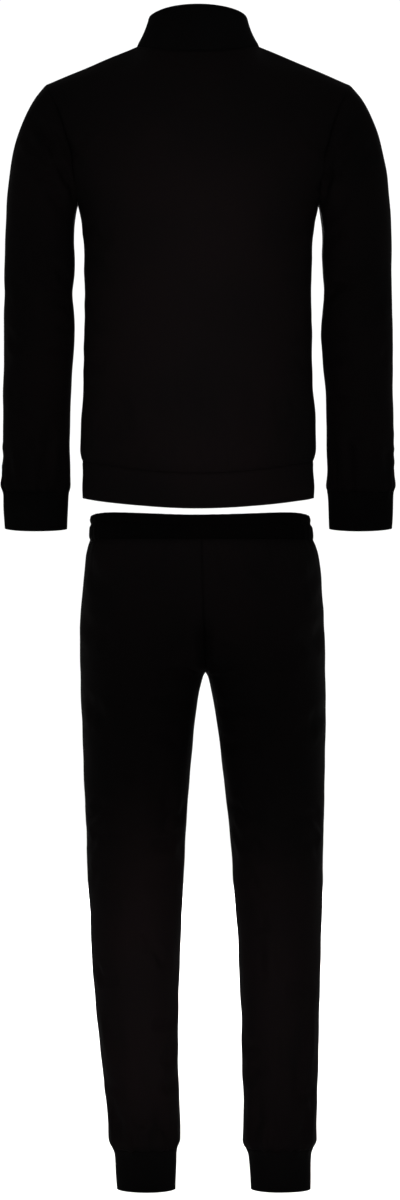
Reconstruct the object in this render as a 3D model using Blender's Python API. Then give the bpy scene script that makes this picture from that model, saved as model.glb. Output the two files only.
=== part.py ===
"""A tracksuit as its wearer fills it: a zipped jacket with a stand collar, and joggers with ankle cuffs.

Every cloth piece is a thin wall on one of three surfaces: the torso, the sleeve and the trousers. Lengths
in the tables are in millimetres. +Z is up, the wearer faces +Y, and Z = 0 is the height of the neck's sides.
"""

from math import pi, radians, sin

import bmesh
import bpy
import numpy as np
from mathutils import Euler, Vector

MM = 0.001

# Cloth
BODY_CLOTH = 2.0
DOUBLE_CLOTH = 3.0
SEAM_GAP = 0.32
SAME_PLACE = 0.01
DOWNWARD = np.array([0, 0, -0.12])
SHARP_EDGE = radians(50)

# How many strips each piece is divided into
NECK_BACK_STRIPS = 4
NECK_FRONT_STRIPS = 5
SHOULDER_STRIPS = 4
ARMHOLE_STRIPS = 10
LEG_STRIPS = 9

# Neck, shoulders and collar
NECK_POINT = np.array([92.0, -8.0, 1.0])
NECK_BACK = np.array([0.0, -68.0, -14.0])
NECK_FRONT = np.array([0.0, 60.0, -72.0])
SHOULDER_POINT = np.array([227.7, -6.0, -55.5])
RIM_SIDE = np.array([73.5, -6.0, 42.0])
RIM_BACK = np.array([0.0, -65.0, 56.0])
RIM_FRONT = np.array([0.0, 57.0, -3.0])
COLLAR_WAIST = 2.5
NECK_BACK_DIP = 1.5
NECK_FRONT_DIP = 1.2
RIM_DIP = 1.1

# Torso and sleeves
TOP_LEVEL = 2
NECK_PULL_FROM = 1.35
TORSO_SQUARENESS = 2.3
TORSO_ROUNDNESS = 0.5
SHOULDER_ROUNDNESS = 0.3
SLEEVE_HEAD = 150

# Zip
ZIP_HALF = 6.0
ZIP_THICK = 2.0
SLIDER_HALF = 4.6
SLIDER_TALL = 13.0
SLIDER_CAP = 3.0
PLATE = 1.8
SLIDER_CLEAR = 0.35
BAIL_HALF = 0.8
BAIL_WIRE = 1.3
BAIL_INSIDE = 2.6
BAIL_TALL = 7.6
PULL_WIDE = 7.6
PULL_LONG = 26.0
PULL_THICK = 1.5
EYE_WIDE = 4.2
EYE_LONG = 5.4
BAIL_CENTRE = -4.6

# Trousers
WAIST_CENTRE = 4.6
CROTCH_CENTRE = 10.9
CROTCH_Z = -935.4
CROTCH_SPREAD = 1.6
WAIST_LIFT = 5.2

# Directions in which two pieces part at a seam
RIGHT = np.array([1.0, 0, 0])
UP = np.array([0, 0, 1.0])
NECK_PARTING = 1.4

# Rows of each piece
TORSO_LEVELS = [0, 0.05, 0.14, 0.28, 0.44, 0.6, 0.76, 0.9, 1, 1.1, 1.2, 1.3, 1.4, 1.5, 1.6, 1.7, 1.8, 1.9, 2]
BAND_LEVELS = [-1, -0.5, -0.15, 0]
COLLAR_UPS = [0, 0.3, 0.62, 0.87, 1]
SLEEVE_DOWNS = [637, 628, 595, 545, 490, 430, 380, 330, 275, 225, 175, 130, 93, 58, 28, 0]
CUFF_DOWNS = [697, 667, 643, 637]
LEG_HEIGHTS = [
    -1647, -1639, -1620, -1590, -1548, -1488, -1428, -1368, -1308, -1248, -1188, -1128, -1068, -1008,
    -973, -950, CROTCH_Z, -915, -890, -850, -805, -770, -750, -738,
]
ANKLE_HEIGHTS = [-1709, -1680, -1656, -1647]
WAIST_HEIGHTS = [-738, -726, -714, -702]


class Sections:
    """Named columns, a row for each section, and a smooth curve through each column."""

    def __init__(self, columns, rows):
        self.columns = columns.split()
        self.rows = np.array(sorted(rows), float)

    def at(self, column, place):
        """The column's value where the first column has the value place."""
        place_list, values = self.rows[:, 0], self.rows[:, self.columns.index(column)]
        step = np.diff(place_list)
        slope = np.diff(values) / step
        bend = np.concatenate([slope[:1], np.zeros(len(slope) - 1), slope[-1:]])
        for i in range(1, len(slope)):
            if slope[i - 1] * slope[i] > 0:
                bend[i] = 2 * slope[i - 1] * slope[i] / (slope[i - 1] + slope[i])
        i = int(np.clip(np.searchsorted(place_list, place) - 1, 0, len(step) - 1))
        t = (place - place_list[i]) / step[i]
        rise = values[i + 1] - values[i]
        return (
            values[i]
            + rise * t * t * (3 - 2 * t)
            + step[i] * t * (1 - t) * (bend[i] * (1 - t) - bend[i + 1] * t)
        )


# The torso's levels: -1 the band's edge, 0 the hem seam, 1 the armpit, 2 the shoulder and neck.
TORSO_SIDE = Sections("level z half_width", [
    (-1.0, -675.2, 173.6),
    (-0.7, -659, 174.2),
    (-0.15, -629, 172.4),
    (0.0, -620, 172.6),
    (0.05, -602, 176.0),
    (0.16, -562, 176.0),
    (0.3, -508, 172.0),
    (0.55, -407, 170.2),
    (0.8, -312, 170.5),
    (0.92, -266, 174.2),
    (1.0, -234, 181.0),
])
BACK_LINE = Sections("level z y", [
    (-1.0, -693.3, -108),
    (0.0, -640.5, -109),
    (0.08, -610, -113),
    (0.3, -520, -109),
    (0.6, -400, -108),
    (1.0, -240, -118),
    (1.3, -172, -116),
    (1.6, -103, -106),
    (1.85, -46, -86),
    (2.0, -14, -68),
])
FRONT_LINE = Sections("level z y", [
    (-1.0, -687, 110),
    (0.0, -634, 111),
    (0.08, -606, 115),
    (0.3, -520, 114),
    (0.6, -404, 114),
    (1.0, -250, 113),
    (1.3, -197, 107),
    (1.6, -143, 95),
    (1.85, -98, 76),
    (2.0, -72, 60),
])
# From the armpit (turn 0) up to the shoulder (turn 1).
ARMHOLE = Sections("turn z back_x back_y front_x front_y", [
    (0.0, -234, 181.0, 0, 181.0, 0),
    (0.1, -230, 180.0, -20, 179.5, 22),
    (0.2, -220, 180.5, -37, 178.5, 39),
    (0.4, -184, 186.0, -53, 181.0, 56),
    (0.6, -140, 196.0, -51, 190.0, 54),
    (0.8, -94, 211.0, -40, 206.5, 42),
    (0.92, -66, 223.5, -25, 222.0, 17),
    (1.0, -55.5, 227.7, -6, 227.7, -6),
])
# From the shoulder (down 0) past the cuff's seam (down 637) to its edge. Rings run through an outer and an
# inner point.
SLEEVE = Sections("down outer_x outer_z inner_x inner_z depth y tilt", [
    (0, 227.7, -55.5, 181.0, -234, 56, 0, 0),
    (28, 245.6, -78, 182.0, -240, 59, 0, 0),
    (58, 258.8, -102, 183.3, -248, 61, 0, 0),
    (93, 270.4, -132, 184.8, -258, 62, 1, 0),
    (130, 278.3, -163, 186.0, -271, 62, 2, 0),
    (175, 284.9, -199, 186.2, -289, 60, 4, 0),
    (225, 288.6, -243, 185.6, -310, 57, 7, 0.02),
    (275, 290.3, -296, 186.4, -337, 54, 11, 0.05),
    (330, 292.0, -358, 188.8, -367, 50, 17, 0.08),
    (380, 292.2, -412, 185.6, -416, 50, 24, 0.11),
    (430, 293.3, -462, 188.2, -464, 47, 31, 0.13),
    (490, 294.5, -522, 192.2, -522, 43, 40, 0.15),
    (550, 295.6, -582, 194.1, -582, 39, 49, 0.16),
    (610, 296.6, -636, 195.0, -636, 37, 58, 0.17),
    (628, 298.0, -653, 194.4, -653, 37, 60, 0.17),
    (637, 296.9, -660, 195.4, -660, 34, 61, 0.17),
    (643, 295.4, -666, 196.5, -666, 32, 62, 0.17),
    (667, 294.8, -690, 197.5, -690, 31, 65, 0.17),
    (697, 293.8, -718.8, 198.7, -719.4, 30, 69, 0.17),
])
# The hips and the waistband, from its seam at -738 to its upper edge at -702.
WAIST_SEAM = -738
WAIST_EDGE = -702
HIPS = Sections("z left right back front y", [
    (-702, -160.8, 166.6, 102, 95, 0),
    (-709, -162.2, 168.6, 104, 97, 0),
    (-714, -161.4, 168.6, 103, 96, 0),
    (-720, -163.0, 171.2, 106, 98, 0),
    (-732, -163.6, 172.2, 107, 99, 0),
    (-738, -162.6, 172.4, 107, 99, 0),
    (-748, -165.4, 176.0, 111, 102, 0),
    (-762, -168.2, 179.6, 114, 103, 0),
    (-805, -172.1, 184.4, 121, 105, 0),
    (-850, -176.6, 187.6, 124, 104, 0),
    (-890, -177.6, 189.2, 121, 102, 0),
    (-935.4, -176.5, 190.3, 112, 99, 0),
])
# The legs and the ankle cuffs, whose seam is at -1647.
LEGS = Sections("z left_out left_in right_in right_out back front y", [
    (-935.4, -176.5, 10.9, 10.9, 190.3, 112, 99, 0),
    (-941, -176.5, 7.4, 14.6, 190.4, 110, 98, 0),
    (-952, -176.5, 4.5, 17.7, 190.7, 108, 98, 0),
    (-973, -176.0, 0.5, 21.2, 190.9, 104, 96, 1),
    (-1008, -174.6, -4.5, 26.6, 190.9, 97, 91, 2),
    (-1068, -172.2, -10.5, 35.0, 190.0, 90, 86, 5),
    (-1128, -170.5, -15.0, 42.2, 189.0, 83, 82, 8),
    (-1188, -167.6, -19.0, 47.8, 188.0, 78, 80, 9),
    (-1248, -165.0, -22.0, 52.6, 186.9, 77, 74, 7),
    (-1308, -162.1, -24.4, 57.0, 185.3, 77, 67, 3),
    (-1368, -158.8, -27.4, 61.0, 184.1, 75, 62, 0),
    (-1428, -154.9, -30.0, 63.6, 182.4, 70, 58, -3),
    (-1488, -147.6, -30.3, 65.8, 180.3, 64, 55, -6),
    (-1548, -141.1, -29.3, 66.9, 178.9, 59, 54, -8),
    (-1608, -134.8, -28.0, 67.7, 177.1, 57, 54, -9),
    (-1636, -133.0, -27.5, 67.6, 176.1, 57, 55, -9),
    (-1647, -128.4, -31.3, 72.0, 170.8, 50, 48, -9),
    (-1656, -125.3, -32.6, 75.8, 168.4, 45, 43, -9),
    (-1686, -123.4, -33.0, 77.7, 168.0, 44, 42, -9),
    (-1709, -122.2, -33.8, 78.8, 168.0, 43, 41, -9),
])
# Troughs and ridges in the cloth, each from one point to another. A fold with mirror 1 is on both sides.
FOLDS = Sections("number x1 y1 z1 x2 y2 z2 width depth mirror", [
    (1, 252, -40, -112, 204, -52, -196, 13, -5.0, 1),
    (2, 238, -52, -150, 196, -46, -226, 12, 3.0, 1),
    (3, 212, 62, -130, 196, 56, -205, 13, -4.0, 1),
    (4, 188, -14, -366, 232, -44, -348, 12, -4.0, 1),
    (5, 188, 40, -366, 225, 62, -392, 12, -4.0, 1),
    (6, 272, 60, -330, 284, 28, -366, 14, -2.5, 1),
    (7, 282, 12, -470, 215, -14, -498, 15, -2.5, 1),
    (8, 60, -112, -604, 150, -62, -590, 14, 2.5, 1),
    (9, 170, -28, -506, 118, -80, -530, 14, -3.0, 1),
    (10, 36, -112, -905, 118, -100, -952, 16, -3.5, 0),
    (11, -16, -112, -905, -96, -104, -946, 16, -3.5, 0),
    (12, -28, -18, -1200, -104, -66, -1174, 16, -4.0, 0),
    (13, 58, -16, -1206, 128, -68, -1182, 16, -4.0, 0),
    (14, -40, -50, -1616, -126, -44, -1608, 12, -4.0, 0),
    (15, 76, -44, -1608, 168, -44, -1618, 12, -4.0, 0),
])


def unit(vectors):
    return vectors / np.linalg.norm(vectors, axis=-1, keepdims=True)


def mix(a, b, t):
    return a + (b - a) * t


def quarter_turn(side, end, cosine, power):
    """A quarter of a neck or rim line, from its side (cosine 0) to its front or back end (cosine 1)."""
    x = side[0] * np.sqrt(1 - cosine**2)
    y = mix(side[1], end[1], cosine)
    z = mix(side[2], end[2], cosine**power)
    return np.stack([x, y, z], axis=-1)


def neck_line(facing, cosine):
    """The seam between body and collar; facing is -1 at the back and 1 at the front."""
    if facing < 0:
        return quarter_turn(NECK_POINT, NECK_BACK, cosine, NECK_BACK_DIP)
    return quarter_turn(NECK_POINT, NECK_FRONT, cosine, NECK_FRONT_DIP)


def rim_line(facing, cosine):
    """The collar's upper edge."""
    return quarter_turn(RIM_SIDE, RIM_BACK if facing < 0 else RIM_FRONT, cosine, RIM_DIP)


def neck_strips(facing):
    return NECK_BACK_STRIPS if facing < 0 else NECK_FRONT_STRIPS


def neck_cosines(facing):
    """How far round the neck each strip's edge lies, from the centre or the zip's edge to the neck's side."""
    first = 0 if facing < 0 else np.arcsin(ZIP_HALF / NECK_POINT[0])
    return np.cos(np.linspace(first, pi / 2, neck_strips(facing) + 1))


def top_edge(facing):
    """Half of a body panel's upper edge: the neck seam from the centre, then the shoulder seam."""
    shoulder = [mix(NECK_POINT, SHOULDER_POINT, i / SHOULDER_STRIPS) for i in range(1, SHOULDER_STRIPS + 1)]
    return np.concatenate([neck_line(facing, neck_cosines(facing)), shoulder])


def torso_end(facing, level):
    """Where a row of the torso ends: on the side seam up to the armpit, and then on the armhole."""
    if level <= 1:
        return np.array([TORSO_SIDE.at("half_width", level), 0.0, TORSO_SIDE.at("z", level)])
    half = "back" if facing < 0 else "front"
    return np.array([ARMHOLE.at(f"{half}_{axis}", level - 1) for axis in "xy"] + [ARMHOLE.at("z", level - 1)])


def torso_arc(facing, level):
    """Half of a row of the torso, from the centre or the zip to its end, as one smooth arc."""
    line = BACK_LINE if facing < 0 else FRONT_LINE
    end = torso_end(facing, level)
    top_share = top_edge(facing)[:, 0] / SHOULDER_POINT[0]
    first = 0 if facing < 0 else ZIP_HALF / end[0]
    body_share = mix(first, 1, np.sin(np.linspace(0, pi / 2, len(top_share))))
    turn = max(level - 1, 0)
    share = mix(body_share, top_share, turn)
    share[-1] = 1
    if facing > 0:
        share[0] = ZIP_HALF / end[0]
    fullness = (1 - share**TORSO_SQUARENESS) ** (TORSO_ROUNDNESS + SHOULDER_ROUNDNESS * turn)
    y = mix(end[1], line.at("y", level), fullness)
    z = mix(line.at("z", level), end[2], share**2)
    return np.stack([share * end[0], y, z], axis=-1)


def torso_row(facing, level):
    """The smooth arc, drawn to the neck and shoulder seams as it nears them."""
    pull = np.clip((level - NECK_PULL_FROM) / (TOP_LEVEL - NECK_PULL_FROM), 0, 1) ** 2
    return torso_arc(facing, level) + pull * (top_edge(facing) - torso_arc(facing, TOP_LEVEL))


def collar_row(facing, up):
    """Half a row of the collar, from the centre or the zip to the side; up runs from 0 below to 1 at the rim."""
    row = mix(neck_line(facing, neck_cosines(facing)), rim_line(facing, neck_cosines(facing)), up)
    row[:, :2] -= COLLAR_WAIST * sin(pi * up) * unit(row[:, :2])
    if facing > 0:
        row[0, 0] = ZIP_HALF
    return row


def mirrored(grid):
    """The same grid on the other side, its columns still running the same way round."""
    return (grid * [-1, 1, 1])[:, ::-1]


def half_round(row_of, facing, places):
    """Rows on the +X side: at the back from the centre to the side, at the front from the side to the zip."""
    rows = np.array([row_of(facing, place) for place in places])
    return rows if facing < 0 else rows[:, ::-1]


def all_round(row_of, places):
    """Rows from the zip's left edge, round the back, to its right edge."""
    back, front = half_round(row_of, -1, places), half_round(row_of, 1, places)
    halves = [mirrored(front)[:, :-1], mirrored(back)[:, :-1], back[:, :-1], front]
    return np.concatenate(halves, axis=1)


def sleeve_oval(down, turns, facing):
    """Half a ring of the sleeve, from its inner point (turn 0) to its outer point (turn 1)."""
    outer = np.array([SLEEVE.at("outer_x", down), SLEEVE.at("outer_z", down)])
    inner = np.array([SLEEVE.at("inner_x", down), SLEEVE.at("inner_z", down)])
    xz = mix(inner, outer, ((1 - np.cos(pi * turns)) / 2)[:, None])
    sway = facing * SLEEVE.at("depth", down) * np.sin(pi * turns)
    z = xz[:, 1] + SLEEVE.at("tilt", down) * sway
    return np.stack([xz[:, 0], SLEEVE.at("y", down) + sway, z], axis=-1)


def sleeve_ring(down):
    """A ring from the inner point round the back, the outer point and the front; the first is the armhole."""
    turns = np.linspace(0, 1, ARMHOLE_STRIPS + 1)
    halves = []
    for facing in (-1, 1):
        half = sleeve_oval(down, turns, facing)
        armhole = np.array([torso_end(facing, 1 + turn) for turn in turns])
        pull = np.clip(1 - down / SLEEVE_HEAD, 0, 1) ** 2
        halves.append(half + pull * (armhole - sleeve_oval(0, turns, facing)))
    return np.concatenate([halves[0], halves[1][-2:0:-1]])


def sleeve(downs):
    """Rows from the lowest up."""
    return np.array([sleeve_ring(down) for down in downs])


def waist_lift(z, angles):
    """The waistband's upper edge stands higher between its sides and its middle."""
    share = max(z - WAIST_SEAM, 0) / (WAIST_EDGE - WAIST_SEAM)
    return share * WAIST_LIFT * (1 - np.sin(angles) ** 4) * (1 - np.cos(angles) ** 12)


def leg_arc(side, facing, z):
    """Half a ring of one leg, from its outer seam to the inseam or, above the crotch, to the centre seam."""
    if z > CROTCH_Z:
        table, name = HIPS, "left" if side < 0 else "right"
        rise = min((z - CROTCH_Z) / (WAIST_SEAM - CROTCH_Z), 1)
        middle = mix(CROTCH_CENTRE, WAIST_CENTRE, rise)
        width = abs(table.at(name, z) - middle)
        spread = width / 2 * (1 - rise) ** CROTCH_SPREAD
        reach = width - spread
        last = np.arccos(-spread / reach)
        centre = middle + side * spread
    else:
        table, name = LEGS, "left" if side < 0 else "right"
        outer, inner = table.at(f"{name}_out", z), table.at(f"{name}_in", z)
        centre, reach, last = (outer + inner) / 2, abs(outer - inner) / 2, pi
    depth = table.at("back" if facing < 0 else "front", z)
    angles = np.linspace(0, last, LEG_STRIPS + 1)
    x = centre + side * reach * np.cos(angles)
    y = table.at("y", z) + facing * depth * np.sin(angles)
    return np.stack([x, y, z + waist_lift(z, angles)], axis=-1)


def leg_panel(side, facing, heights):
    """A leg panel, whose columns run the way that all rings do: left, back, right, front."""
    rows = np.array([leg_arc(side, facing, z) for z in heights])
    return rows if side * facing > 0 else rows[:, ::-1]


def grid_normals(grid, closed):
    if closed:
        around = np.roll(grid, -1, axis=1) - np.roll(grid, 1, axis=1)
    else:
        around = np.gradient(grid, axis=1)
    return unit(np.cross(around, np.gradient(grid, axis=0)))


def place_of(point):
    return tuple(np.round(point / SAME_PLACE).astype(int))


def share_normals(pieces):
    """Gives each point the mean of its normals in all the pieces that meet there, so that their walls meet
    too. Where two sides cancel out, as at the crotch and the armpit, the mean points down."""
    sums = {}
    for piece in pieces.values():
        piece["normals"] = grid_normals(piece["grid"], piece["closed"])
        for point, normal in zip(piece["grid"].reshape(-1, 3), piece["normals"].reshape(-1, 3)):
            place = place_of(point)
            sums[place] = sums.get(place, DOWNWARD) + normal
    for piece in pieces.values():
        found = [sums[place_of(point)] for point in piece["grid"].reshape(-1, 3)]
        piece["normals"] = unit(np.array(found)).reshape(piece["grid"].shape)


def fold_depth(point):
    """How far the folds move a point along its normal."""
    moved = 0
    for _, x1, y1, z1, x2, y2, z2, width, depth, both_sides in FOLDS.rows:
        for side in (1, -1) if both_sides else (1,):
            start, run = np.array([side * x1, y1, z1]), np.array([side * (x2 - x1), y2 - y1, z2 - z1])
            along = np.clip(np.dot(point - start, run) / np.dot(run, run), 0, 1)
            away = np.linalg.norm(point - start - along * run) / width
            moved += depth * np.exp(-away * away)
    return moved


def fold(pieces):
    """Moves each point by the folds; points that pieces share move together."""
    share_normals(pieces)
    for piece in pieces.values():
        depths = np.array([fold_depth(point) for point in piece["grid"].reshape(-1, 3)])
        piece["grid"] = piece["grid"] + depths.reshape(piece["grid"].shape[:2] + (1,)) * piece["normals"]
    share_normals(pieces)


def parted(piece):
    """The outer points, each seamed edge drawn back by half the gap between two pieces."""
    points = piece["grid"].copy()
    edges = {"bottom": points[0], "top": points[-1], "first": points[:, 0], "last": points[:, -1]}
    for edge, away in piece["seams"].items():
        edges[edge] += np.asarray(away, float) * SEAM_GAP / 2
    return points


def wall_mesh(name, outer, inner, closed):
    """A wall between two grids of points, each column a closed loop up the outside and down the inside."""
    loops = np.concatenate([outer, inner[::-1]]) * MM
    length, columns = loops.shape[:2]
    shape = bmesh.new()
    points = [[shape.verts.new(point) for point in row] for row in loops]
    for j in range(columns if closed else columns - 1):
        beside = (j + 1) % columns
        for i in range(length):
            after = (i + 1) % length
            shape.faces.new([points[i][j], points[i][beside], points[after][beside], points[after][j]])
    for j in () if closed else (0, columns - 1):
        for i in range(len(outer) - 1):
            shape.faces.new([points[k][j] for k in (i, i + 1, length - 2 - i, length - 1 - i)])
    bmesh.ops.recalc_face_normals(shape, faces=shape.faces)
    bmesh.ops.triangulate(shape, faces=shape.faces, quad_method="SHORT_EDGE")
    mesh = bpy.data.meshes.new(name)
    shape.to_mesh(mesh)
    shape.free()
    mesh.shade_smooth()
    mesh.set_sharp_from_angle(angle=SHARP_EDGE)
    return mesh


def away_from_side(levels, facing, inward):
    """Away from the side seam up to the armpit, and from the armhole above it."""
    level = np.array(levels)[:, None]
    return (level <= 1) * np.array([0, facing, 0]) + (level >= 1) * np.array([inward, 0, 0])


def away_from_top(facing):
    """Away from the collar along the neck, and from the shoulder seam beyond it."""
    number = np.arange(len(top_edge(facing)))[:, None]
    neck = neck_strips(facing)
    return (number <= neck) * np.array([0, 0, -NECK_PARTING]) + (number >= neck) * np.array([0, facing, 0])


def away_from_middle(heights, side, facing):
    """Away from the inseam up to the crotch, and from the centre seam above it."""
    z = np.array(heights)[:, None]
    return (z <= CROTCH_Z) * np.array([0, facing, 0]) + (z >= CROTCH_Z) * np.array([side, 0, 0])


def cloth(grid, thickness, material, closed=False, **seams):
    return {"grid": grid, "thickness": thickness, "material": material, "closed": closed, "seams": seams}


def jacket_pieces():
    """Every cloth piece of the jacket, and its zip."""
    pieces = {}
    back_half = half_round(torso_row, -1, TORSO_LEVELS)
    back_top = away_from_top(-1)
    pieces["jacket_back"] = cloth(
        np.concatenate([mirrored(back_half)[:, :-1], back_half], axis=1),
        BODY_CLOTH,
        "knit",
        bottom=UP,
        top=np.concatenate([back_top[:0:-1], back_top]),
        first=away_from_side(TORSO_LEVELS, -1, 1),
        last=away_from_side(TORSO_LEVELS, -1, -1),
    )
    front = half_round(torso_row, 1, TORSO_LEVELS)
    pieces["jacket_front_right"] = cloth(
        front, BODY_CLOTH, "knit", bottom=UP, top=away_from_top(1)[::-1],
        first=away_from_side(TORSO_LEVELS, 1, -1), last=RIGHT,
    )
    pieces["jacket_front_left"] = cloth(
        mirrored(front), BODY_CLOTH, "knit", bottom=UP, top=away_from_top(1),
        first=-RIGHT, last=away_from_side(TORSO_LEVELS, 1, 1),
    )
    pieces["hem_band"] = cloth(
        all_round(torso_row, BAND_LEVELS), DOUBLE_CLOTH, "rib", top=-UP, first=-RIGHT, last=RIGHT
    )
    pieces["collar"] = cloth(
        all_round(collar_row, COLLAR_UPS), DOUBLE_CLOTH, "rib",
        bottom=UP * NECK_PARTING, first=-RIGHT, last=RIGHT,
    )
    for side, out in (("right", RIGHT), ("left", -RIGHT)):
        upper, lower = sleeve(SLEEVE_DOWNS), sleeve(CUFF_DOWNS)
        if side == "left":
            upper, lower = mirrored(upper), mirrored(lower)
        pieces[f"sleeve_{side}"] = cloth(upper, BODY_CLOTH, "knit", closed=True, bottom=UP, top=out)
        pieces[f"sleeve_cuff_{side}"] = cloth(lower, DOUBLE_CLOTH, "rib", closed=True, top=-UP)
    edge = np.concatenate([
        half_round(torso_row, 1, BAND_LEVELS[:-1])[:, -1],
        front[:, -1],
        half_round(collar_row, 1, COLLAR_UPS[1:-1])[:, -1],
    ])
    tape = np.stack([edge * [x, 1, 1] for x in (1, 1 / 3, -1 / 3, -1)], axis=1)
    pieces["front_zip"] = cloth(tape, ZIP_THICK, "tape", first=-RIGHT, last=RIGHT)
    return pieces


def trousers_pieces():
    """Four leg panels, the waistband and the ankle cuffs."""
    pieces = {}
    for side, number in (("left", -1), ("right", 1)):
        for part, facing in (("back", -1), ("front", 1)):
            seams = {"bottom": UP, "top": -UP}
            outer, inner = ("first", "last") if number * facing > 0 else ("last", "first")
            seams[outer] = np.array([0, facing, 0])
            seams[inner] = away_from_middle(LEG_HEIGHTS, number, facing)
            panel = leg_panel(number, facing, LEG_HEIGHTS)
            pieces[f"trousers_{part}_{side}"] = cloth(panel, BODY_CLOTH, "knit", **seams)
        cuff = [leg_panel(number, facing, ANKLE_HEIGHTS)[:, :-1] for facing in (-1, 1)]
        pieces[f"ankle_cuff_{side}"] = cloth(
            np.concatenate(cuff, axis=1), DOUBLE_CLOTH, "rib", closed=True, top=-UP
        )
    quarters = [(-1, -1), (1, -1), (1, 1), (-1, 1)]
    band = [leg_panel(number, facing, WAIST_HEIGHTS)[:, :-1] for number, facing in quarters]
    pieces["waistband"] = cloth(
        np.concatenate(band, axis=1), DOUBLE_CLOTH, "rib", closed=True, bottom=UP
    )
    return pieces


def material(name, colour, roughness, metallic=0.0):
    made = bpy.data.materials.new(name)
    made.use_nodes = True
    surface = made.node_tree.nodes["Principled BSDF"]
    surface.inputs["Base Color"].default_value = (*colour, 1)
    surface.inputs["Roughness"].default_value = roughness
    surface.inputs["Metallic"].default_value = metallic
    return made


def add_object(name, mesh, made_of, parent, group):
    mesh.materials.append(made_of)
    added = bpy.data.objects.new(name, mesh)
    group.objects.link(added)
    added.parent = parent
    return added


def plate_mesh(name, outline, half_width):
    """A flat outline in the Y-Z plane, given its width along X."""
    shape = bmesh.new()
    corners = [shape.verts.new((-half_width * MM, y * MM, z * MM)) for y, z in outline]
    face = shape.faces.new(corners)
    grown = bmesh.ops.extrude_face_region(shape, geom=[face])["geom"]
    moved = [item for item in grown if isinstance(item, bmesh.types.BMVert)]
    bmesh.ops.translate(shape, verts=moved, vec=(2 * half_width * MM, 0, 0))
    bmesh.ops.recalc_face_normals(shape, faces=shape.faces)
    mesh = bpy.data.meshes.new(name)
    shape.to_mesh(mesh)
    shape.free()
    return mesh


def box_mesh(name, low, high):
    shape = bmesh.new()
    bmesh.ops.create_cube(shape, size=1)
    low, high = Vector(low) * MM, Vector(high) * MM
    bmesh.ops.scale(shape, verts=shape.verts, vec=high - low)
    bmesh.ops.translate(shape, verts=shape.verts, vec=(high + low) / 2)
    mesh = bpy.data.meshes.new(name)
    shape.to_mesh(mesh)
    shape.free()
    return mesh


def add_boolean(target, other, operation):
    """Joins a helper to the target or cuts it away."""
    change = target.modifiers.new(operation.title(), "BOOLEAN")
    change.operation = operation
    change.object = other
    other.hide_render = True
    other.display_type = "WIRE"


def add_slider(top, lean, parent):
    """The slider straddles the upper end of the tapes; the bail on its front plate carries the pull."""
    front = SLIDER_CLEAR
    back = -ZIP_THICK - SLIDER_CLEAR
    low = SLIDER_CAP - SLIDER_TALL
    body = [
        (front + PLATE, low), (front + PLATE, SLIDER_CAP), (back - PLATE, SLIDER_CAP), (back - PLATE, low),
        (back, low), (back, SLIDER_CLEAR), (front, SLIDER_CLEAR), (front, low),
    ]
    plate = front + PLATE
    reach = plate + BAIL_INSIDE + BAIL_WIRE
    half = BAIL_TALL / 2
    bail = [
        (plate - BAIL_WIRE / 2, half), (reach, half), (reach, -half), (plate - BAIL_WIRE / 2, -half),
        (plate - BAIL_WIRE / 2, BAIL_WIRE - half), (plate + BAIL_INSIDE, BAIL_WIRE - half),
        (plate + BAIL_INSIDE, half - BAIL_WIRE), (plate - BAIL_WIRE / 2, half - BAIL_WIRE),
    ]
    slider = add_object("zip_slider", plate_mesh("zip_slider", body, SLIDER_HALF), steel, parent, suit)
    slider.location = top
    slider.rotation_euler.x = lean
    loop = add_object("bail_shape", plate_mesh("bail_shape", bail, BAIL_HALF), steel, slider, helpers)
    loop.location = (0, 0, BAIL_CENTRE * MM)
    add_boolean(slider, loop, "UNION")


def add_pull(slider_top, lean, parent):
    """The pull hangs from its upper bar, which turns inside the bail; its origin is on that bar."""
    out = (SLIDER_CLEAR + PLATE + BAIL_INSIDE / 2) * MM
    from_top = Vector((0, out, BAIL_CENTRE * MM))
    from_top.rotate(Euler((lean, 0, 0)))
    half, bar, half_eye = PULL_WIDE / 2, PULL_THICK / 2, EYE_WIDE / 2
    tab = box_mesh("zip_pull", (-half, -bar, bar - PULL_LONG), (half, bar, bar))
    pull = add_object("zip_pull", tab, steel, parent, suit)
    pull.location = slider_top + from_top
    cutter = box_mesh("eye_shape", (-half_eye, -PULL_THICK, -bar - EYE_LONG), (half_eye, PULL_THICK, -bar))
    eye = add_object("eye_shape", cutter, steel, pull, helpers)
    add_boolean(pull, eye, "DIFFERENCE")


for old in list(bpy.data.objects):
    bpy.data.objects.remove(old, do_unlink=True)
suit = bpy.data.collections.new("Tracksuit")
helpers = bpy.data.collections.new("Tracksuit helpers")
for group in (suit, helpers):
    bpy.context.scene.collection.children.link(group)

materials = {
    "knit": material("black brushed knit", (0.008, 0.008, 0.009), 0.9),
    "rib": material("black double knit", (0.007, 0.007, 0.008), 0.88),
    "tape": material("black woven tape", (0.01, 0.01, 0.011), 0.8),
}
steel = material("black plated zinc", (0.03, 0.03, 0.032), 0.35, 0.9)

for garment, pieces in (("jacket", jacket_pieces()), ("trousers", trousers_pieces())):
    holder = bpy.data.objects.new(garment, None)
    suit.objects.link(holder)
    fold(pieces)
    for name, piece in pieces.items():
        outer = parted(piece)
        inner = outer - piece["normals"] * piece["thickness"]
        mesh = wall_mesh(name, outer, inner, piece["closed"])
        add_object(name, mesh, materials[piece["material"]], holder, suit)
    if garment == "jacket":
        tape = pieces["front_zip"]["grid"].mean(axis=1) * MM
        rise = tape[-1] - tape[-2]
        lean = float(np.arctan2(-rise[1], rise[2]))
        add_slider(Vector(tape[-1]), lean, holder)
        add_pull(Vector(tape[-1]), lean, holder)
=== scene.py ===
"""A near-black tracksuit seen from behind, filled out as its wearer fills it: a zipped jacket above joggers.

Each cloth piece is cut as a fine grid on the garment's surface, sewn to its neighbours along shared edges, and
then folded, creased and gathered by listed tables. Tables are in millimetres, everything else in metres.
"""

from math import pi, radians, sin

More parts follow.
